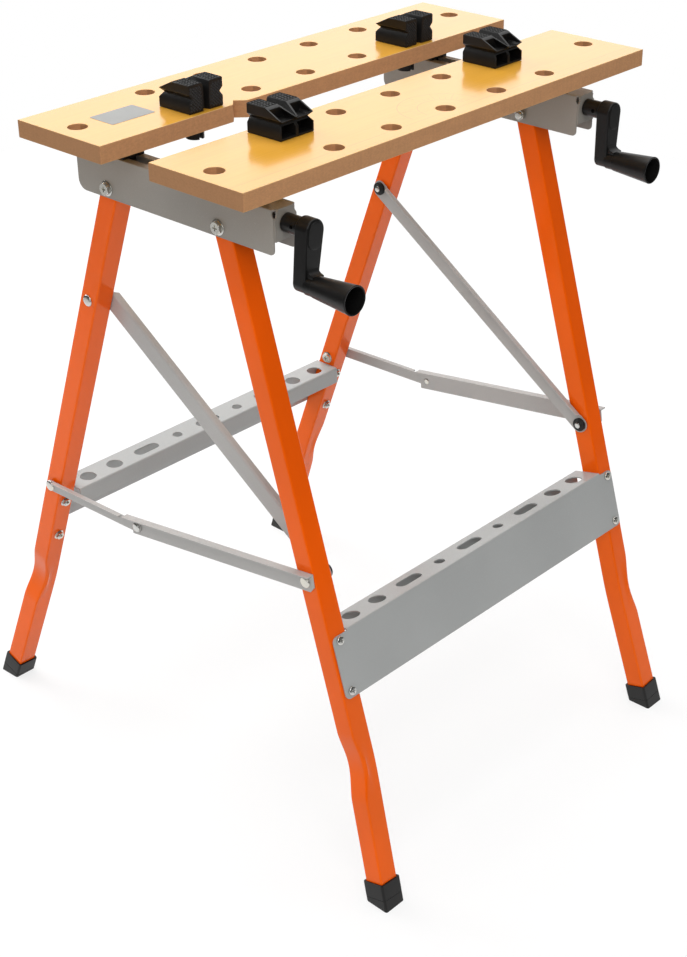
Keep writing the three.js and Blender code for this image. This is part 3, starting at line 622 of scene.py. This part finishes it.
def plate(outline, thickness, edge, segments=2, holes=()):
    """A flat plate about z = 0 with rounded edges, from an outline and its holes."""
    curve = bpy.data.curves.new("plate", "CURVE")
    curve.dimensions = "2D"
    curve.fill_mode = "BOTH"
    curve.extrude = thickness / 2 - edge
    curve.bevel_depth = edge
    curve.bevel_resolution = segments - 1
    curve.offset = -edge
    for points in (outline, *holes):
        spline = curve.splines.new("POLY")
        spline.points.add(len(points) - 1)
        for point, (x, y) in zip(spline.points, points):
            point.co = (x, y, 0, 1)
        spline.use_cyclic_u = True
    bm = taken(linked("plate", curve))
    bmesh.ops.remove_doubles(bm, verts=bm.verts, dist=0.002 * MM)
    return bm


# Operators


class BENCH_OT_worktop(Operator):
    """Makes the two fibreboard jaws with their dog holes, and the blank foil plate."""

    bl_idname = "bench.worktop"
    bl_label = "Worktop"

    def execute(self, context):
        for name in ("front_jaw", "rear_jaw"):
            self.jaw(name)
        self.foil_plate()
        return {"FINISHED"}

    def jaw(self, name):
        s = settings("worktop")
        low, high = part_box(name)
        middle = (low.y + high.y) / 2
        outline = [(low.x, low.y), (high.x, low.y), (high.x, high.y), (low.x, high.y)]
        if name == "rear_jaw":
            notch, deep = -1.5 * s.pitch, 10 * MM
            outline[1:1] = [(notch - deep, low.y), (notch, low.y + deep), (notch + deep, low.y)]
        places = [(end * (high.x - s.inset), middle) for end in (-1, 1)]
        places += [((i - 2) * s.pitch, middle + row * s.rows / 2) for i in range(5) for row in (-1, 1)]
        holes = [circle(x, y, s.hole / 2) for x, y in places]
        bm = plate(outline, high.z - low.z, s.edge, holes=holes)
        bm = placed(bm, shift(0, 0, (low.z + high.z) / 2))
        for face in bm.faces:
            face.material_index = 0 if abs(face.normal.z) > 0.99 else 1
        put(name + "_board", bm, "laminate", name, ("laminate", "fibre"))

    def foil_plate(self):
        low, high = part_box("rear_jaw")
        middle = (low.y + high.y) / 2
        left, right, corner = -250.5 * MM, -198.5 * MM, 1.5 * MM
        near, far = middle - 20 * MM, middle + 12.5 * MM
        bm = plate(rounded_box(left, right, near, far, corner), 0.5 * MM, 0.1 * MM)
        bm = placed(bm, shift(0, 0, TOP))
        put("foil_plate", bm, "grey_paint", "rear_jaw", ("foil",), extra=True)


class BENCH_OT_dogs(Operator):
    """Makes the four bench dogs, with teeth on their faces and ridged tops."""

    bl_idname = "bench.dogs"
    bl_label = "Bench dogs"

    # Face in millimetres: half widths, heights of the waist, the groove's half width, and the panels' edges
    WIDE, NARROW = 22.5, 18.5
    WAIST = (10.5, 15.5, 19.5)
    GROOVE, FOOT, HEAD, MARGIN = 4.7, 0.8, 28.7, 0.2

    def execute(self, context):
        for row, turn in (("rear", 0), ("front", pi)):
            for side, _ in SIDES:
                self.dog(f"{row}_dog_{side}", JOINTS[f"{row}_dog_swivel_{side}"]["pos_m"], turn)
        return {"FINISHED"}

    def dog(self, node, peg, turn):
        spot = shift(peg[0], peg[1], TOP) @ spin(turn, "Z")
        bm = joined(softened(node, 0.45 * MM), placed(self.teeth(), spot), placed(self.ridges(), spot))
        put(node + "_block", bm, "black_plastic", node)

    def half_width(self, height):
        """Half the face's width at a height, narrower at the waist."""
        start, middle, stop = self.WAIST
        side = start if height < middle else stop
        return self.NARROW + (self.WIDE - self.NARROW) * clamped((height - middle) / (side - middle))

    def on_face(self, x, z, reach):
        """Whether a tooth of that reach lies on one of the face's two panels."""
        x = abs(x)
        if x - reach < self.GROOVE or z - reach < self.FOOT or z + reach > self.HEAD:
            return False
        spots = ((x + reach, z), (x, z - reach), (x, z + reach))
        return all(across < self.half_width(up) - self.MARGIN for across, up in spots)

    def teeth(self):
        """Pyramids set as diamonds on the two panels of the face."""
        bm = bmesh.new()
        step, face, tall = 1.85, 19.5, 0.95
        reach = 0.96 * step
        for i in range(-12, 13):
            for j in range(1, 16):
                x, z = i * step, 1.1 + j * step
                if (i + j) % 2 or not self.on_face(x, z, reach):
                    continue
                ways = ((reach, 0), (0, reach), (-reach, 0), (0, -reach))
                corners = [bm.verts.new(Vector((x + u, 0.1 - face, z + v)) * MM) for u, v in ways]
                tip = bm.verts.new(Vector((x, -face - tall, z)) * MM)
                bm.faces.new(corners)
                for a, b in zip(corners, corners[1:] + corners[:1]):
                    bm.faces.new((a, b, tip))
        return bm

    def ridges(self):
        """A grid of fine ridges on the two lobes of the top."""
        parts = []
        left, right, near, far, top = 6.4, 21.6, -18.6, 4.4, 29
        columns = [left + i * (right - left) / 4 for i in range(5)]
        lines = [((x, near), (x, far)) for x in columns]
        lines += [((left, y), (right, y)) for y in (near + i * (far - near) / 6 for i in range(7))]
        for end in (-1, 1):
            for start, stop in lines:
                across = Vector((stop[1] - start[1], start[0] - stop[0], 0)).normalized() * 0.4
                rows = []
                for x, y in (start, stop):
                    spot = Vector((end * x, y, top - 0.05))
                    rows.append([(spot + across) * MM, (spot - across) * MM, (spot + Vector((0, 0, 0.5))) * MM])
                parts.append(loft(rows))
        return joined(*parts)


class BENCH_OT_beams(Operator):
    """Makes the two beams with their pads and sliders."""

    bl_idname = "bench.beams"
    bl_label = "Beams"

    def execute(self, context):
        for side, _ in SIDES:
            self.beam(f"beam_{side}")
            self.pad(f"front_pad_{side}")
            soften([f"slider_{side}"], "black_plastic", 0.6 * MM)
        return {"FINISHED"}

    def beam(self, node):
        """The folded channel, with relief holes and slots where its front tab is bent down."""
        low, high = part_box(node)
        cuts = []
        for x, way in ((low.x, 1), (high.x, -1)):
            profile = ((0.4, -4.2), (1.9, -3.5), (2.8, -1.9), (3.1, 0), (2.8, 1.9), (1.9, 3.5), (0.4, 4.2))
            relief = turned([(radius * MM, height * MM) for radius, height in profile], 24)
            spot = (x + way * 0.8 * MM, TAB_FRONT + 0.8 * MM, high.z - 4.6 * MM)
            cuts.append(placed(relief, shift(*spot)))
            near, far = sorted((x + way * 1.6 * MM, x + way * 3.8 * MM))
            corners = [(near, TAB_FRONT - 2 * MM), (far, TAB_FRONT - 2 * MM)]
            corners += [(far, TAB_FRONT + 3 * MM), (near, TAB_FRONT + 3 * MM)]
            cuts.append(bar(corners, (low.z + 4 * MM, low.z + 13 * MM)))
        bm = carved(softened(node, 0.4 * MM, bend=3 * MM), *cuts)
        # The beam's finish is the grey paint darkened as painted shade.
        put("soft_" + node, bm, "grey_paint", node, ("beam_paint",))

    def pad(self, node):
        """A moulded block between beam and board, set back from the beam's end."""
        low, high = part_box(node)
        setback, corner = 26 * MM, 3 * MM
        near, far = low.y + setback + corner, high.y - corner
        outline = rounded_box(low.x + corner, high.x - corner, near, far, corner)
        bm = plate(outline, high.z - low.z, 0.8 * MM, 3)
        middle = shift(0, 0, (low.z + high.z) / 2)
        put("soft_" + node, placed(bm, middle), "black_plastic", node)


class BENCH_OT_screws(Operator):
    """Makes the lead screws and the cranks that turn them."""

    bl_idname = "bench.screws"
    bl_label = "Screws and cranks"

    def execute(self, context):
        for side, sign in SIDES:
            axis = shift(sign * SIDE_X, 0, SCREW_Z)
            self.screw(f"screw_{side}", axis)
            lean = getattr(settings("fittings"), f"lean_{side}")
            self.crank(f"crank_{side}", axis @ spin(lean, "Y"))
        return {"FINISHED"}

    def screw(self, node, axis):
        low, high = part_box(node)
        collar = BEAM_FRONT + 0.6 * MM
        profile = [(4.2, low.y), (5, low.y + 0.8 * MM), (5, collar - 0.2 * MM), (7.6, collar)]
        profile += [(8, collar + 0.5 * MM), (8, collar + 5.5 * MM), (7.6, collar + 6 * MM)]
        profile += [(4.3, collar + 6.2 * MM), (4.3, high.y - 1 * MM), (3.6, high.y)]
        core = turned([(radius * MM, y) for radius, y in profile], 32)
        ridge = helix(collar + 6 * MM, high.y - 4 * MM, 4.2 * MM, 5 * MM, 4 * MM)
        put(node + "_thread", placed(joined(core, ridge), axis @ ALONG_Y), "zinc", node)

    def crank(self, node, axis):
        hub_back, arm_back = TAB_FRONT - 0.6 * MM, FRONT_EDGE - 1.6 * MM
        throw, thick = 50.5 * MM, 16 * MM
        arm_front = arm_back - thick
        parts = [self.hub(arm_back, hub_back), self.grip(arm_front, throw), self.gusset(arm_front, throw)]
        wide, narrow = 11.8 * MM, 9.3 * MM
        slant = degrees(asin((wide - narrow) / throw))
        outline = arc(0, 0, wide, -slant, 180 + slant, 32)
        outline += arc(0, -throw, narrow, 180 + slant, 360 - slant, 32)
        arm = plate(outline, thick, 1.8 * MM, 4)
        parts.append(placed(arm, shift(0, arm_back - thick / 2, 0) @ UPRIGHT))
        outline = arc(0, 0, 9.4 * MM, 0, 180, 24) + arc(0, -8 * MM, 9.1 * MM, 180, 360, 24)
        boss = plate(outline, 2.4 * MM, 0.5 * MM)
        parts.append(placed(boss, shift(0, arm_front + 0.4 * MM, 0) @ UPRIGHT))
        put(node + "_handle", placed(joined(*parts), axis), "black_plastic", node)

    def hub(self, arm_back, hub_back):
        profile = [(9.25, arm_back - 3 * MM), (9.25, hub_back - 0.8 * MM), (8.5, hub_back), (5.3, hub_back)]
        profile += [(5.3, hub_back - 12 * MM)]
        body = placed(turned([(radius * MM, y) for radius, y in profile]), ALONG_Y)
        pin = turned([(2 * MM, -12 * MM), (2 * MM, 12 * MM)], 24)
        spot = shift(0, (arm_back + hub_back) / 2 - 4 * MM, 0) @ spin(pi / 2, "Y")
        return carved(body, placed(pin, spot))

    def grip(self, arm_front, throw):
        profile = [(10.2, 2), (10.2, -6.6), (10.4, -7.3), (10.8, -7.6), (14.4, -52.4), (14.6, -53.1), (14.5, -53.7)]
        profile += [(14.1, -54), (13.5, -54), (13.0, -53.8), (12.8, -53.2), (7.4, -9.2), (6.6, -8.2), (5.4, -8)]
        bm = turned([(radius * MM, arm_front + y * MM) for radius, y in profile])
        return placed(bm, shift(0, 0, -throw) @ ALONG_Y)

    def gusset(self, arm_front, throw):
        """The web that fills the corner between arm and grip."""
        corner = [(1, 8), (1, 16.4), (0, 15.8), (-0.9, 14.2), (-2.2, 12.6), (-4, 11.5), (-6.4, 10.8)]
        corner += [(-7.6, 10.5), (-7.6, 8)]
        outline = [(arm_front + y * MM, z * MM - throw) for y, z in reversed(corner)]
        return placed(plate(outline, 15 * MM, 0.4 * MM), SIDEWAYS)


class BENCH_OT_legs(Operator):
    """Makes the four tube legs, crushed a little where they are bent, and their feet."""

    bl_idname = "bench.legs"
    bl_label = "Legs"

    # Heights up the rounded top as shares of its radius
    CROWN = (0.999, 0.95, 0.85, 0.7, 0.5, 0.25)
    # Tube's end above the floor, length of the turn, half the dent's length and the swelling beside it
    CLEAR, SWING, CREASE, SWELLING = 11 * MM, 50 * MM, 40 * MM, 1.6 * MM

    def execute(self, context):
        for end in ENDS:
            for side, sign in SIDES:
                self.leg(end, f"{end}_leg_{side}", sign)
                self.foot(end, f"{end}_foot_{side}", sign)
        return {"FINISHED"}

    def section(self, half, radius):
        """Points round a square with rounded corners, its flats divided."""
        flat = half - radius
        points = []
        for quarter in range(4):
            turn = Matrix.Rotation(quarter * pi / 2, 2)
            side = arc(flat, flat, radius, 0, 90, 6) + [(flat * share, half) for share in (0.5, 0, -0.5)]
            points += [turn @ Vector(point) for point in side]
        return points

    def leg(self, end, node, sign):
        s = settings("frame")
        hinge, turn, _, _ = ENDS[end]
        half = s.tube / 2
        length = hinge.z / cos(turn) - self.CLEAR
        rings = []
        section = self.section(half, s.corner)
        for z in self.CROWN:
            depth = sqrt(1 - z * z)
            rings.append([(p.x, p.y * depth, z * half) for p in section])
        steps = [0.0, s.bend - 200 * MM, s.bend - 70 * MM]
        steps += [s.bend + i * 2.5 * MM for i in range(-20, 21)]
        steps += [s.bend + 70 * MM, length]
        place, last = Vector(), 0.0
        for at in steps:
            lean = s.set * eased((at - s.bend) / self.SWING + 0.5)
            place += Vector((sign * sin(lean), 0, -cos(lean))) * (at - last)
            last = at
            across = Vector((cos(lean), 0, sign * sin(lean)))
            reach = abs(at - s.bend + 2 * MM) / self.CREASE
            crush = cos(reach * pi / 2) ** 1.5 if reach < 1 else 0
            rings.append([self.crushed(p, place, across, crush, sign, half) for p in section])
        put(node + "_tube", placed(loft(rings), on_leg(end, sign * SIDE_X)), "orange_paint", node)

    def foot(self, end, node, sign):
        """A moulded cap with a rolled rim, cut level with the floor."""
        s = settings("frame")
        spot = on_leg(end, sign * SIDE_X, s.bend) @ spin(-sign * s.set, "Y")
        tilt_x, tilt_y, rise, start = spot[2]
        ground = -start / rise
        half, corner = 14.25 * MM, 2.6
        shape = ((20, -2.1), (26.6, -2.1), (27, -1.8), (27, -0.6), (26.8, -0.2), (26.3, 0), (15, 0.1), (9.3, 0))
        shape += ((9.05, -0.25), (8.75, -0.25), (8.5, 0))
        rings = []
        for height, grow in shape:
            points = self.section(half + grow * MM, (corner + grow) * MM)
            rings.append([(p.x, p.y, ground + height * MM) for p in points])
        for height, grow in ((0.6, 0), (0.15, -0.2), (0, -0.6)):
            points = self.section(half + grow * MM, (corner + grow) * MM)
            rings.append([(p.x, p.y, (height * MM - start - tilt_x * p.x - tilt_y * p.y) / rise) for p in points])
        put(node + "_cap", placed(loft(rings), spot), "black_plastic", node)

    def crushed(self, point, place, across, crush, sign, half):
        """A point of the section, pressed in on the outer wall and swollen on the walls beside it."""
        outward = max(0, point.x * sign / half)
        dent = settings("frame").dent * crush * min(1, outward * 1.4) ** 2
        bulge = self.SWELLING * crush * sin(min(1, outward) * pi)
        swell = copysign(bulge, point.y) if abs(point.y) > 0.8 * half else 0
        return place + across * (point.x - sign * dent) + Vector((0, point.y + swell, 0))


class BENCH_OT_trays(Operator):
    """Makes the front and rear trays, with their tool holes opened out and their flanges set."""

    bl_idname = "bench.trays"
    bl_label = "Trays"

    # Plate's outer face from the leg's middle, and across the flange from there: hole row, hole rims, fold
    OUTER, MIDDLE = 13.6 * MM, 18.75 * MM
    RIMS = (6 * MM, 32 * MM)
    FOLD, SPREAD = 1.7 * MM, 0.7 * MM
    # Ends of the plate
    PLATE_END, SHORTER = 235 * MM, 2 * MM
    # Each hole's place in pitches from the middle, then half its straight part and its radius in millimetres
    PITCH = 50.6 * MM
    HOLES = ((0, 10.5, 7.2), (1, 0.01, 6.3), (2, 10.5, 7.2), (3, 0.01, 9.9), (3.8, 0.01, 9.9))

    def execute(self, context):
        self.tray("front", radians(2))
        self.tray("rear", settings("frame").level)
        return {"FINISHED"}

    def tray(self, end, tilt):
        node = f"{end}_tray"
        _, _, face, top = ENDS[end]
        spot = on_leg(end, 0, top) @ shift(0, face * self.OUTER, 0)
        bm = placed(softened(node, 0.4 * MM, bend=2.4 * MM), spot.inverted())
        bm = carved(bm, *self.openings(-face * self.MIDDLE))
        low, high = self.RIMS
        rims = [edge for edge in bm.edges if edge.calc_face_angle(0) > radians(60)]
        rims = [edge for edge in rims if all(low < abs(vert.co.y) < high for vert in edge.verts)]
        rounded(bm, rims, 0.3 * MM, 2)
        for vert in bm.verts:
            if abs(vert.co.x) > self.PLATE_END:
                vert.co.x -= copysign(self.SHORTER, vert.co.x)
            share = clamped((-face * vert.co.y - self.FOLD) / self.SPREAD)
            vert.co = Matrix.Rotation(-face * tilt * share, 3, "X") @ vert.co
        put("soft_" + node, placed(bm, spot), "grey_paint", node)

    def openings(self, middle):
        """Cutters for the nine tool holes of a flange."""
        cuts = []
        for place, half, radius in self.HOLES:
            for x in sorted({-place * self.PITCH, place * self.PITCH}):
                outline = arc(x + half * MM, middle, radius * MM, -90, 90, 24)
                outline += arc(x - half * MM, middle, radius * MM, 90, 270, 24)
                cuts.append(bar(outline, (-3 * MM, 3 * MM)))
        return cuts


class BENCH_OT_links(Operator):
    """Makes the struts and the folding stays."""

    bl_idname = "bench.links"
    bl_label = "Struts and stays"

    def execute(self, context):
        for side, sign in SIDES:
            self.strut(f"strut_{side}", side, sign)
            stay = [f"stay_long_link_{side}", f"stay_short_link_{side}"]
            # The stays' finish is the grey paint lightened as painted light.
            soften(stay, "grey_paint", 0.4 * MM, bend=2.2 * MM, finishes=("stay_paint",))
        return {"FINISHED"}

    def strut(self, node, side, sign):
        """A folded angle with flat round ends, its upper flange towards the middle."""
        foot, head = pivot(f"strut_foot_washer_{side}"), pivot(f"strut_head_washer_{side}")
        line = head - foot
        length, half, lower = line.length, 9.5 * MM, 1.27
        web, sheet, flange, start, ramp = 12.6 * MM, 1.5 * MM, 6 * MM, 6 * MM, 4 * MM
        steps = [-half * cos(radians(angle)) for angle in range(12, 91, 6)]
        steps += [at * MM for at in (2, 4, 6, 8, 8.7, 9.4, 10, 10.6, 11.3, 12, 14, 18, 40, 80, 120, 160)]
        rings = []
        for at in steps + [length - at for at in reversed(steps)]:
            inset = min(at, length - at)
            width = half if inset > 0 else sqrt(half * half - inset * inset)
            depth = sheet + flange * eased((inset - start) / ramp)
            rings.append([(v, at, u if u > 0 else u * lower) for u, v in self.angle(width, depth)])
        turn = spin(atan2(line.z, line.y), "X")
        flip = Matrix.Scale(-sign, 4, (1, 0, 0))
        spot = shift(sign * (SIDE_X - web), foot.y, foot.z) @ turn @ flip
        # The strut's finish is the grey paint lightened as painted light.
        put(node + "_angle", placed(loft(rings), spot), "grey_paint", node, ("stay_paint",))

    def angle(self, half, depth):
        """Outline of the section: across, and away from the leg."""
        sheet, soft = 1.5 * MM, 0.3 * MM
        outer = min(2.6 * MM, depth, 0.5 * half)
        wall = min(sheet, 0.4 * half)
        bend = min(1.1 * MM, max(0.02 * MM, depth - sheet), 0.3 * half)
        path = [(half, depth)] + arc(half - outer, outer, outer, 0, -90, 8)
        path += [(soft - half, 0), (-half, soft), (-half, sheet - soft), (soft - half, sheet)]
        return path + arc(half - wall - bend, sheet + bend, bend, -90, 0, 6) + [(half - wall, depth)]


class BENCH_OT_fasteners(Operator):
    """Makes the bolts, nuts, rivets and caps, in millimetres outwards from the middle of the tube."""

    bl_idname = "bench.fasteners"
    bl_label = "Fasteners"

    # Round heads as shares of their radius and height
    PAN = ((1, 0), (1, 0.4), (0.95, 0.68), (0.82, 0.88), (0.6, 0.97), (0.3, 1))
    DOME = ((1, 0.3), (0.96, 0.52), (0.86, 0.75), (0.66, 0.92), (0.4, 0.99), (0.1, 1))

    def execute(self, context):
        for side, sign in SIDES:
            for name, parts in self.sideways():
                self.across(f"{name}_{side}", sign, parts, "black_plastic" if "washer" in name else "zinc")
            for end in ENDS:
                self.tray_bolts(end, side, sign)
        return {"FINISHED"}

    def sideways(self):
        """The parts of each piece along X, for one side."""
        for end in ENDS:
            nut = self.nut(6.6, -15.3, -5, -7.5)
            yield f"{end}_leg_bolt", [self.hex_head(7.2, 15.3, 4.5), self.rod(4, 15, -15), nut]
        yield "front_link_bolt", [self.dome(6.5, 14.4, 2.2), self.tip(14.5, -20.2)]
        yield "strut_head_bolt", [self.tip(-12.6, -20.2)]
        for end in ("foot", "head"):
            yield f"strut_{end}_washer", [self.cap(-14.4, -18.6)]
        yield "strut_head_rivet", [self.dome(6.5, 12.2, 2.2), self.rod(4, 12.3, -12)]
        yield "stay_tail_rivet", [self.dome(6.5, 16.2, 2.2), self.rod(4, 16.3, 14.4)]
        tail = self.dome(3.8, 12.8, -0.6)
        yield "stay_elbow_rivet", [self.dome(5.5, 16.2, 2.2), self.rod(3.8, 16.3, 12.7), tail]
        yield "stay_tail_stud", [self.hex_head(6.6, -12.3, -4), self.rod(4, -12.5, 14.1)]

    def across(self, node, sign, parts, slot):
        """Places parts along X, outwards from the middle of the frame's side."""
        spot = pivot(node) + Vector((sign * SIDE_X, 0, 0))
        axis = shift(*spot) @ spin(sign * pi / 2, "Y")
        put(node + "_made", placed(joined(*parts), axis), slot, node)

    def tray_bolts(self, end, side, sign):
        _, _, face, top = ENDS[end]
        for level, drop in (("upper", 8 * MM), ("lower", 65 * MM)):
            node = f"{end}_tray_bolt_{level}_{side}"
            spot = on_leg(end, sign * SIDE_X, top + drop) @ spin(-face * pi / 2, "X")
            parts = [self.pan_head(5, 14.0, 2.6), self.rod(2.5, 14.2, -12), self.nut(5.2, -13, -3.3, -5.2, 2.5)]
            parts.append(self.disc(6.4, -12.2, -0.9))
            put(node + "_made", placed(joined(*parts), spot), "zinc", node)

    def body(self, base, rise, rings):
        """Skins rings of radius and height, or hexagons of radius, height and limit, the way that rise goes."""
        way = copysign(1, rise)
        made = []
        for size, height, *limit in rings:
            at = (base + way * height) * MM
            made.append(hex_ring(size * MM, at, limit[0] * MM) if limit else ring(size * MM, at))
        return loft(made)

    def crossed(self, bm, base, rise, size):
        """Cuts a cross recess into a head's end."""
        half, arm = size * MM, size * 0.22 * MM
        corners, quarter = [], [(arm, arm), (arm, half), (-arm, half)]
        for _ in range(4):
            corners += quarter
            quarter = [(-y, x) for x, y in quarter]
        way = copysign(1, rise)
        return carved(bm, bar(corners, ((base + rise + way) * MM, (base + rise - 1.6 * way) * MM)))

    def hex_head(self, radius, base, rise):
        tall = abs(rise)
        limit = 0.97 * radius
        rings = [(radius + 0.9, -0.1), (radius + 0.9, 0.5), (radius + 0.5, 0.8), (radius, 0.9, limit)]
        rings += [(radius, tall - 0.8, limit), (radius, tall - 0.2, 0.87 * radius), (0.82 * radius, tall)]
        return self.crossed(self.body(base, rise, rings), base, rise, 0.42 * radius)

    def pan_head(self, radius, base, rise):
        rings = [(radius * across, abs(rise) * up) for across, up in self.PAN]
        return self.crossed(self.body(base, rise, rings), base, rise, 0.52 * radius)

    def dome(self, radius, base, rise):
        rings = [(radius * across, abs(rise) * up) for across, up in self.DOME]
        return self.body(base, rise, [(radius, -0.1)] + rings)

    def disc(self, radius, base, rise):
        tall = abs(rise)
        return self.body(base, rise, [(radius, 0), (radius, tall - 0.25), (radius - 0.25, tall)])

    def nut(self, radius, base, rise, tail, bore=4):
        """A nut with the bolt's threaded end standing out of it."""
        tall, out = abs(rise), abs(tail)
        limit = 0.97 * radius
        rings = [(0.85 * radius, 0), (radius, 0.5, limit), (radius, tall - 0.6, limit)]
        rings += [(radius, tall, 0.88 * radius), (bore + 0.7, tall), (bore + 0.2, tall - 0.4)]
        at = tall - 0.4
        while at < out - 0.6:
            rings += [(bore - 0.4, at), (bore, at + 0.3)]
            at += 0.6
        rings += [(0.7 * bore, out)]
        return self.body(base, rise, rings)

    def rod(self, radius, start, stop):
        return self.body(start, stop - start, [(radius, 0), (radius, abs(stop - start))])

    def tip(self, start, stop):
        """A bolt's plain shank with a rounded end."""
        length = abs(stop - start)
        rings = [(3.7, 0), (3.7, length - 1.0), (3.4, length - 0.4), (2.6, length - 0.05), (1.2, length)]
        return self.body(start, stop - start, rings)

    def cap(self, start, stop):
        """A moulded washer with a rounded rim and a raised middle."""
        tall = abs(stop - start)
        rings = [(7.6, 0), (8.1, 0.4), (8.1, tall - 1.6), (7.6, tall - 0.9), (6.6, tall - 0.6), (5.4, tall - 0.6)]
        rings += [(5.0, tall - 0.1), (4.6, tall), (3.6, tall)]
        return self.body(start, stop - start, rings)


class BENCH_OT_stage(Operator):
    """Sets up the camera, the lamps and the plain floor."""

    bl_idname = "bench.stage"
    bl_label = "Stage"

    def execute(self, context):
        scene = context.scene
        scene.view_settings.view_transform = "Standard"
        scene.camera = self.camera()
        self.floor()
        scene.world = self.surroundings()
        s = settings("stage")
        self.lamp("key_lamp", s.key, (-1.8, -2.1, 2.9), (0, 0, 0.5), (2.2, 2.2))
        self.lamp("overhead_lamp", s.overhead, (0.3, 0.6, 3.3), (0.1, 0.1, 0.3), (2.4, 2.4))
        self.lamp("softbox", s.softbox, (2.55, 2.3, 1.95), (0, 0, 0.75), (4.2, 1.9))
        self.lamp("back_lamp", s.back, (-0.3, 2.6, 2.0), (0, -0.2, 0.35), (1.8, 1.2))
        self.lamp("fill_lamp", s.fill, (-2.8, -0.6, 0.55), (0.1, 0, 0.35), (2.0, 0.9))
        return {"FINISHED"}

    def camera(self):
        """The photo's view, fitted to the bench."""
        data = bpy.data.cameras.new("camera")
        data.sensor_width = 36
        data.lens = 65.357
        camera = linked("camera", data)
        camera.location = (-1.28744, -1.25461, 1.30321)
        camera.rotation_euler = [radians(angle) for angle in (60.7718, 0.6535, -46.8986)]
        return camera

    def floor(self):
        """A floor that is white to the camera and to reflections near the bench, and darker otherwise."""
        white = Finish("floor")
        x, y = white.axis("X"), white.axis("Y")
        near = 1 - white.between((x * x + y * y).root(), 1.0, 1.7)
        seen = white.ray("Camera") | (white.ray("Glossy") | white.ray("Transmission")) * near
        tone = white.blend(seen, settings("stage").floor, (0.95, 0.95, 0.95))
        matt = white.node("ShaderNodeBsdfDiffuse", {}, {"Color": tone})
        glow = white.node("ShaderNodeEmission", {}, {"Color": (1, 1, 1, 1), "Strength": 1.0})
        mixed = white.node("ShaderNodeMixShader", {}, {0: seen * 0.75, 1: matt, 2: glow})
        white.node("ShaderNodeOutputMaterial", {}, {"Surface": mixed})
        bm = bmesh.new()
        bmesh.ops.create_grid(bm, x_segments=1, y_segments=1, size=2)
        mesh = mesh_of("floor", bm)
        mesh.materials.append(white.material)
        floor = linked("floor", mesh)

    def surroundings(self):
        """White to the camera, an even light to matt faces, and to shiny ones a backdrop in a dim room."""
        room = Finish("surroundings", bpy.data.worlds)
        seen, shiny = room.ray("Camera"), room.ray("Glossy")
        towards = {0: room.place("Generated"), 1: (0.76, 0.6, 0.25)}
        behind = room.node("ShaderNodeVectorMath", {"operation": "DOT_PRODUCT"}, towards, "Value")
        backdrop = 0.1 + room.between(behind, 0.45, 0.75) * 0.9
        strength = shiny * backdrop + (1 - shiny) * settings("stage").ambient
        strength = seen | (1 - seen) * strength
        light = room.node("ShaderNodeBackground", {}, {"Color": (1, 1, 1, 1), "Strength": strength})
        room.node("ShaderNodeOutputWorld", {}, {"Surface": light})
        return room.material

    def lamp(self, name, power, place, target, size):
        data = bpy.data.lights.new(name, "AREA")
        data.shape = "RECTANGLE"
        data.size, data.size_y = size
        data.energy = power
        lamp = linked(name, data)
        lamp.location = place
        aim = Vector(target) - Vector(place)
        lamp.rotation_euler = aim.to_track_quat("-Z", "Y").to_euler()


STEPS = (
    BENCH_OT_worktop,
    BENCH_OT_dogs,
    BENCH_OT_beams,
    BENCH_OT_screws,
    BENCH_OT_legs,
    BENCH_OT_trays,
    BENCH_OT_links,
    BENCH_OT_fasteners,
    BENCH_OT_stage,
)


class BENCH_PT_panel(Panel):
    """Lists the workbench's pieces in the order in which they are made."""

    bl_idname = "BENCH_PT_panel"
    bl_label = "Folding workbench"
    bl_space_type = "VIEW_3D"
    bl_region_type = "UI"
    bl_category = "Workbench"

    def draw(self, context):
        for step in STEPS:
            self.layout.operator(step.bl_idname)


GROUPS = {
    "worktop": WorktopSettings,
    "frame": FrameSettings,
    "fittings": FittingSettings,
    "stage": StageSettings,
}


def register():
    for name, group in GROUPS.items():
        bpy.utils.register_class(group)
        setattr(Scene, "bench_" + name, bpy.props.PointerProperty(type=group))
    for step in (*STEPS, BENCH_PT_panel):
        bpy.utils.register_class(step)


def unregister():
    for step in reversed((*STEPS, BENCH_PT_panel)):
        bpy.utils.unregister_class(step)
    for name, group in GROUPS.items():
        delattr(Scene, "bench_" + name)
        bpy.utils.unregister_class(group)


def main():
    register()
    for step in STEPS:
        getattr(bpy.ops.bench, step.bl_idname.split(".")[1])()


if __name__ == "__main__":
    main()
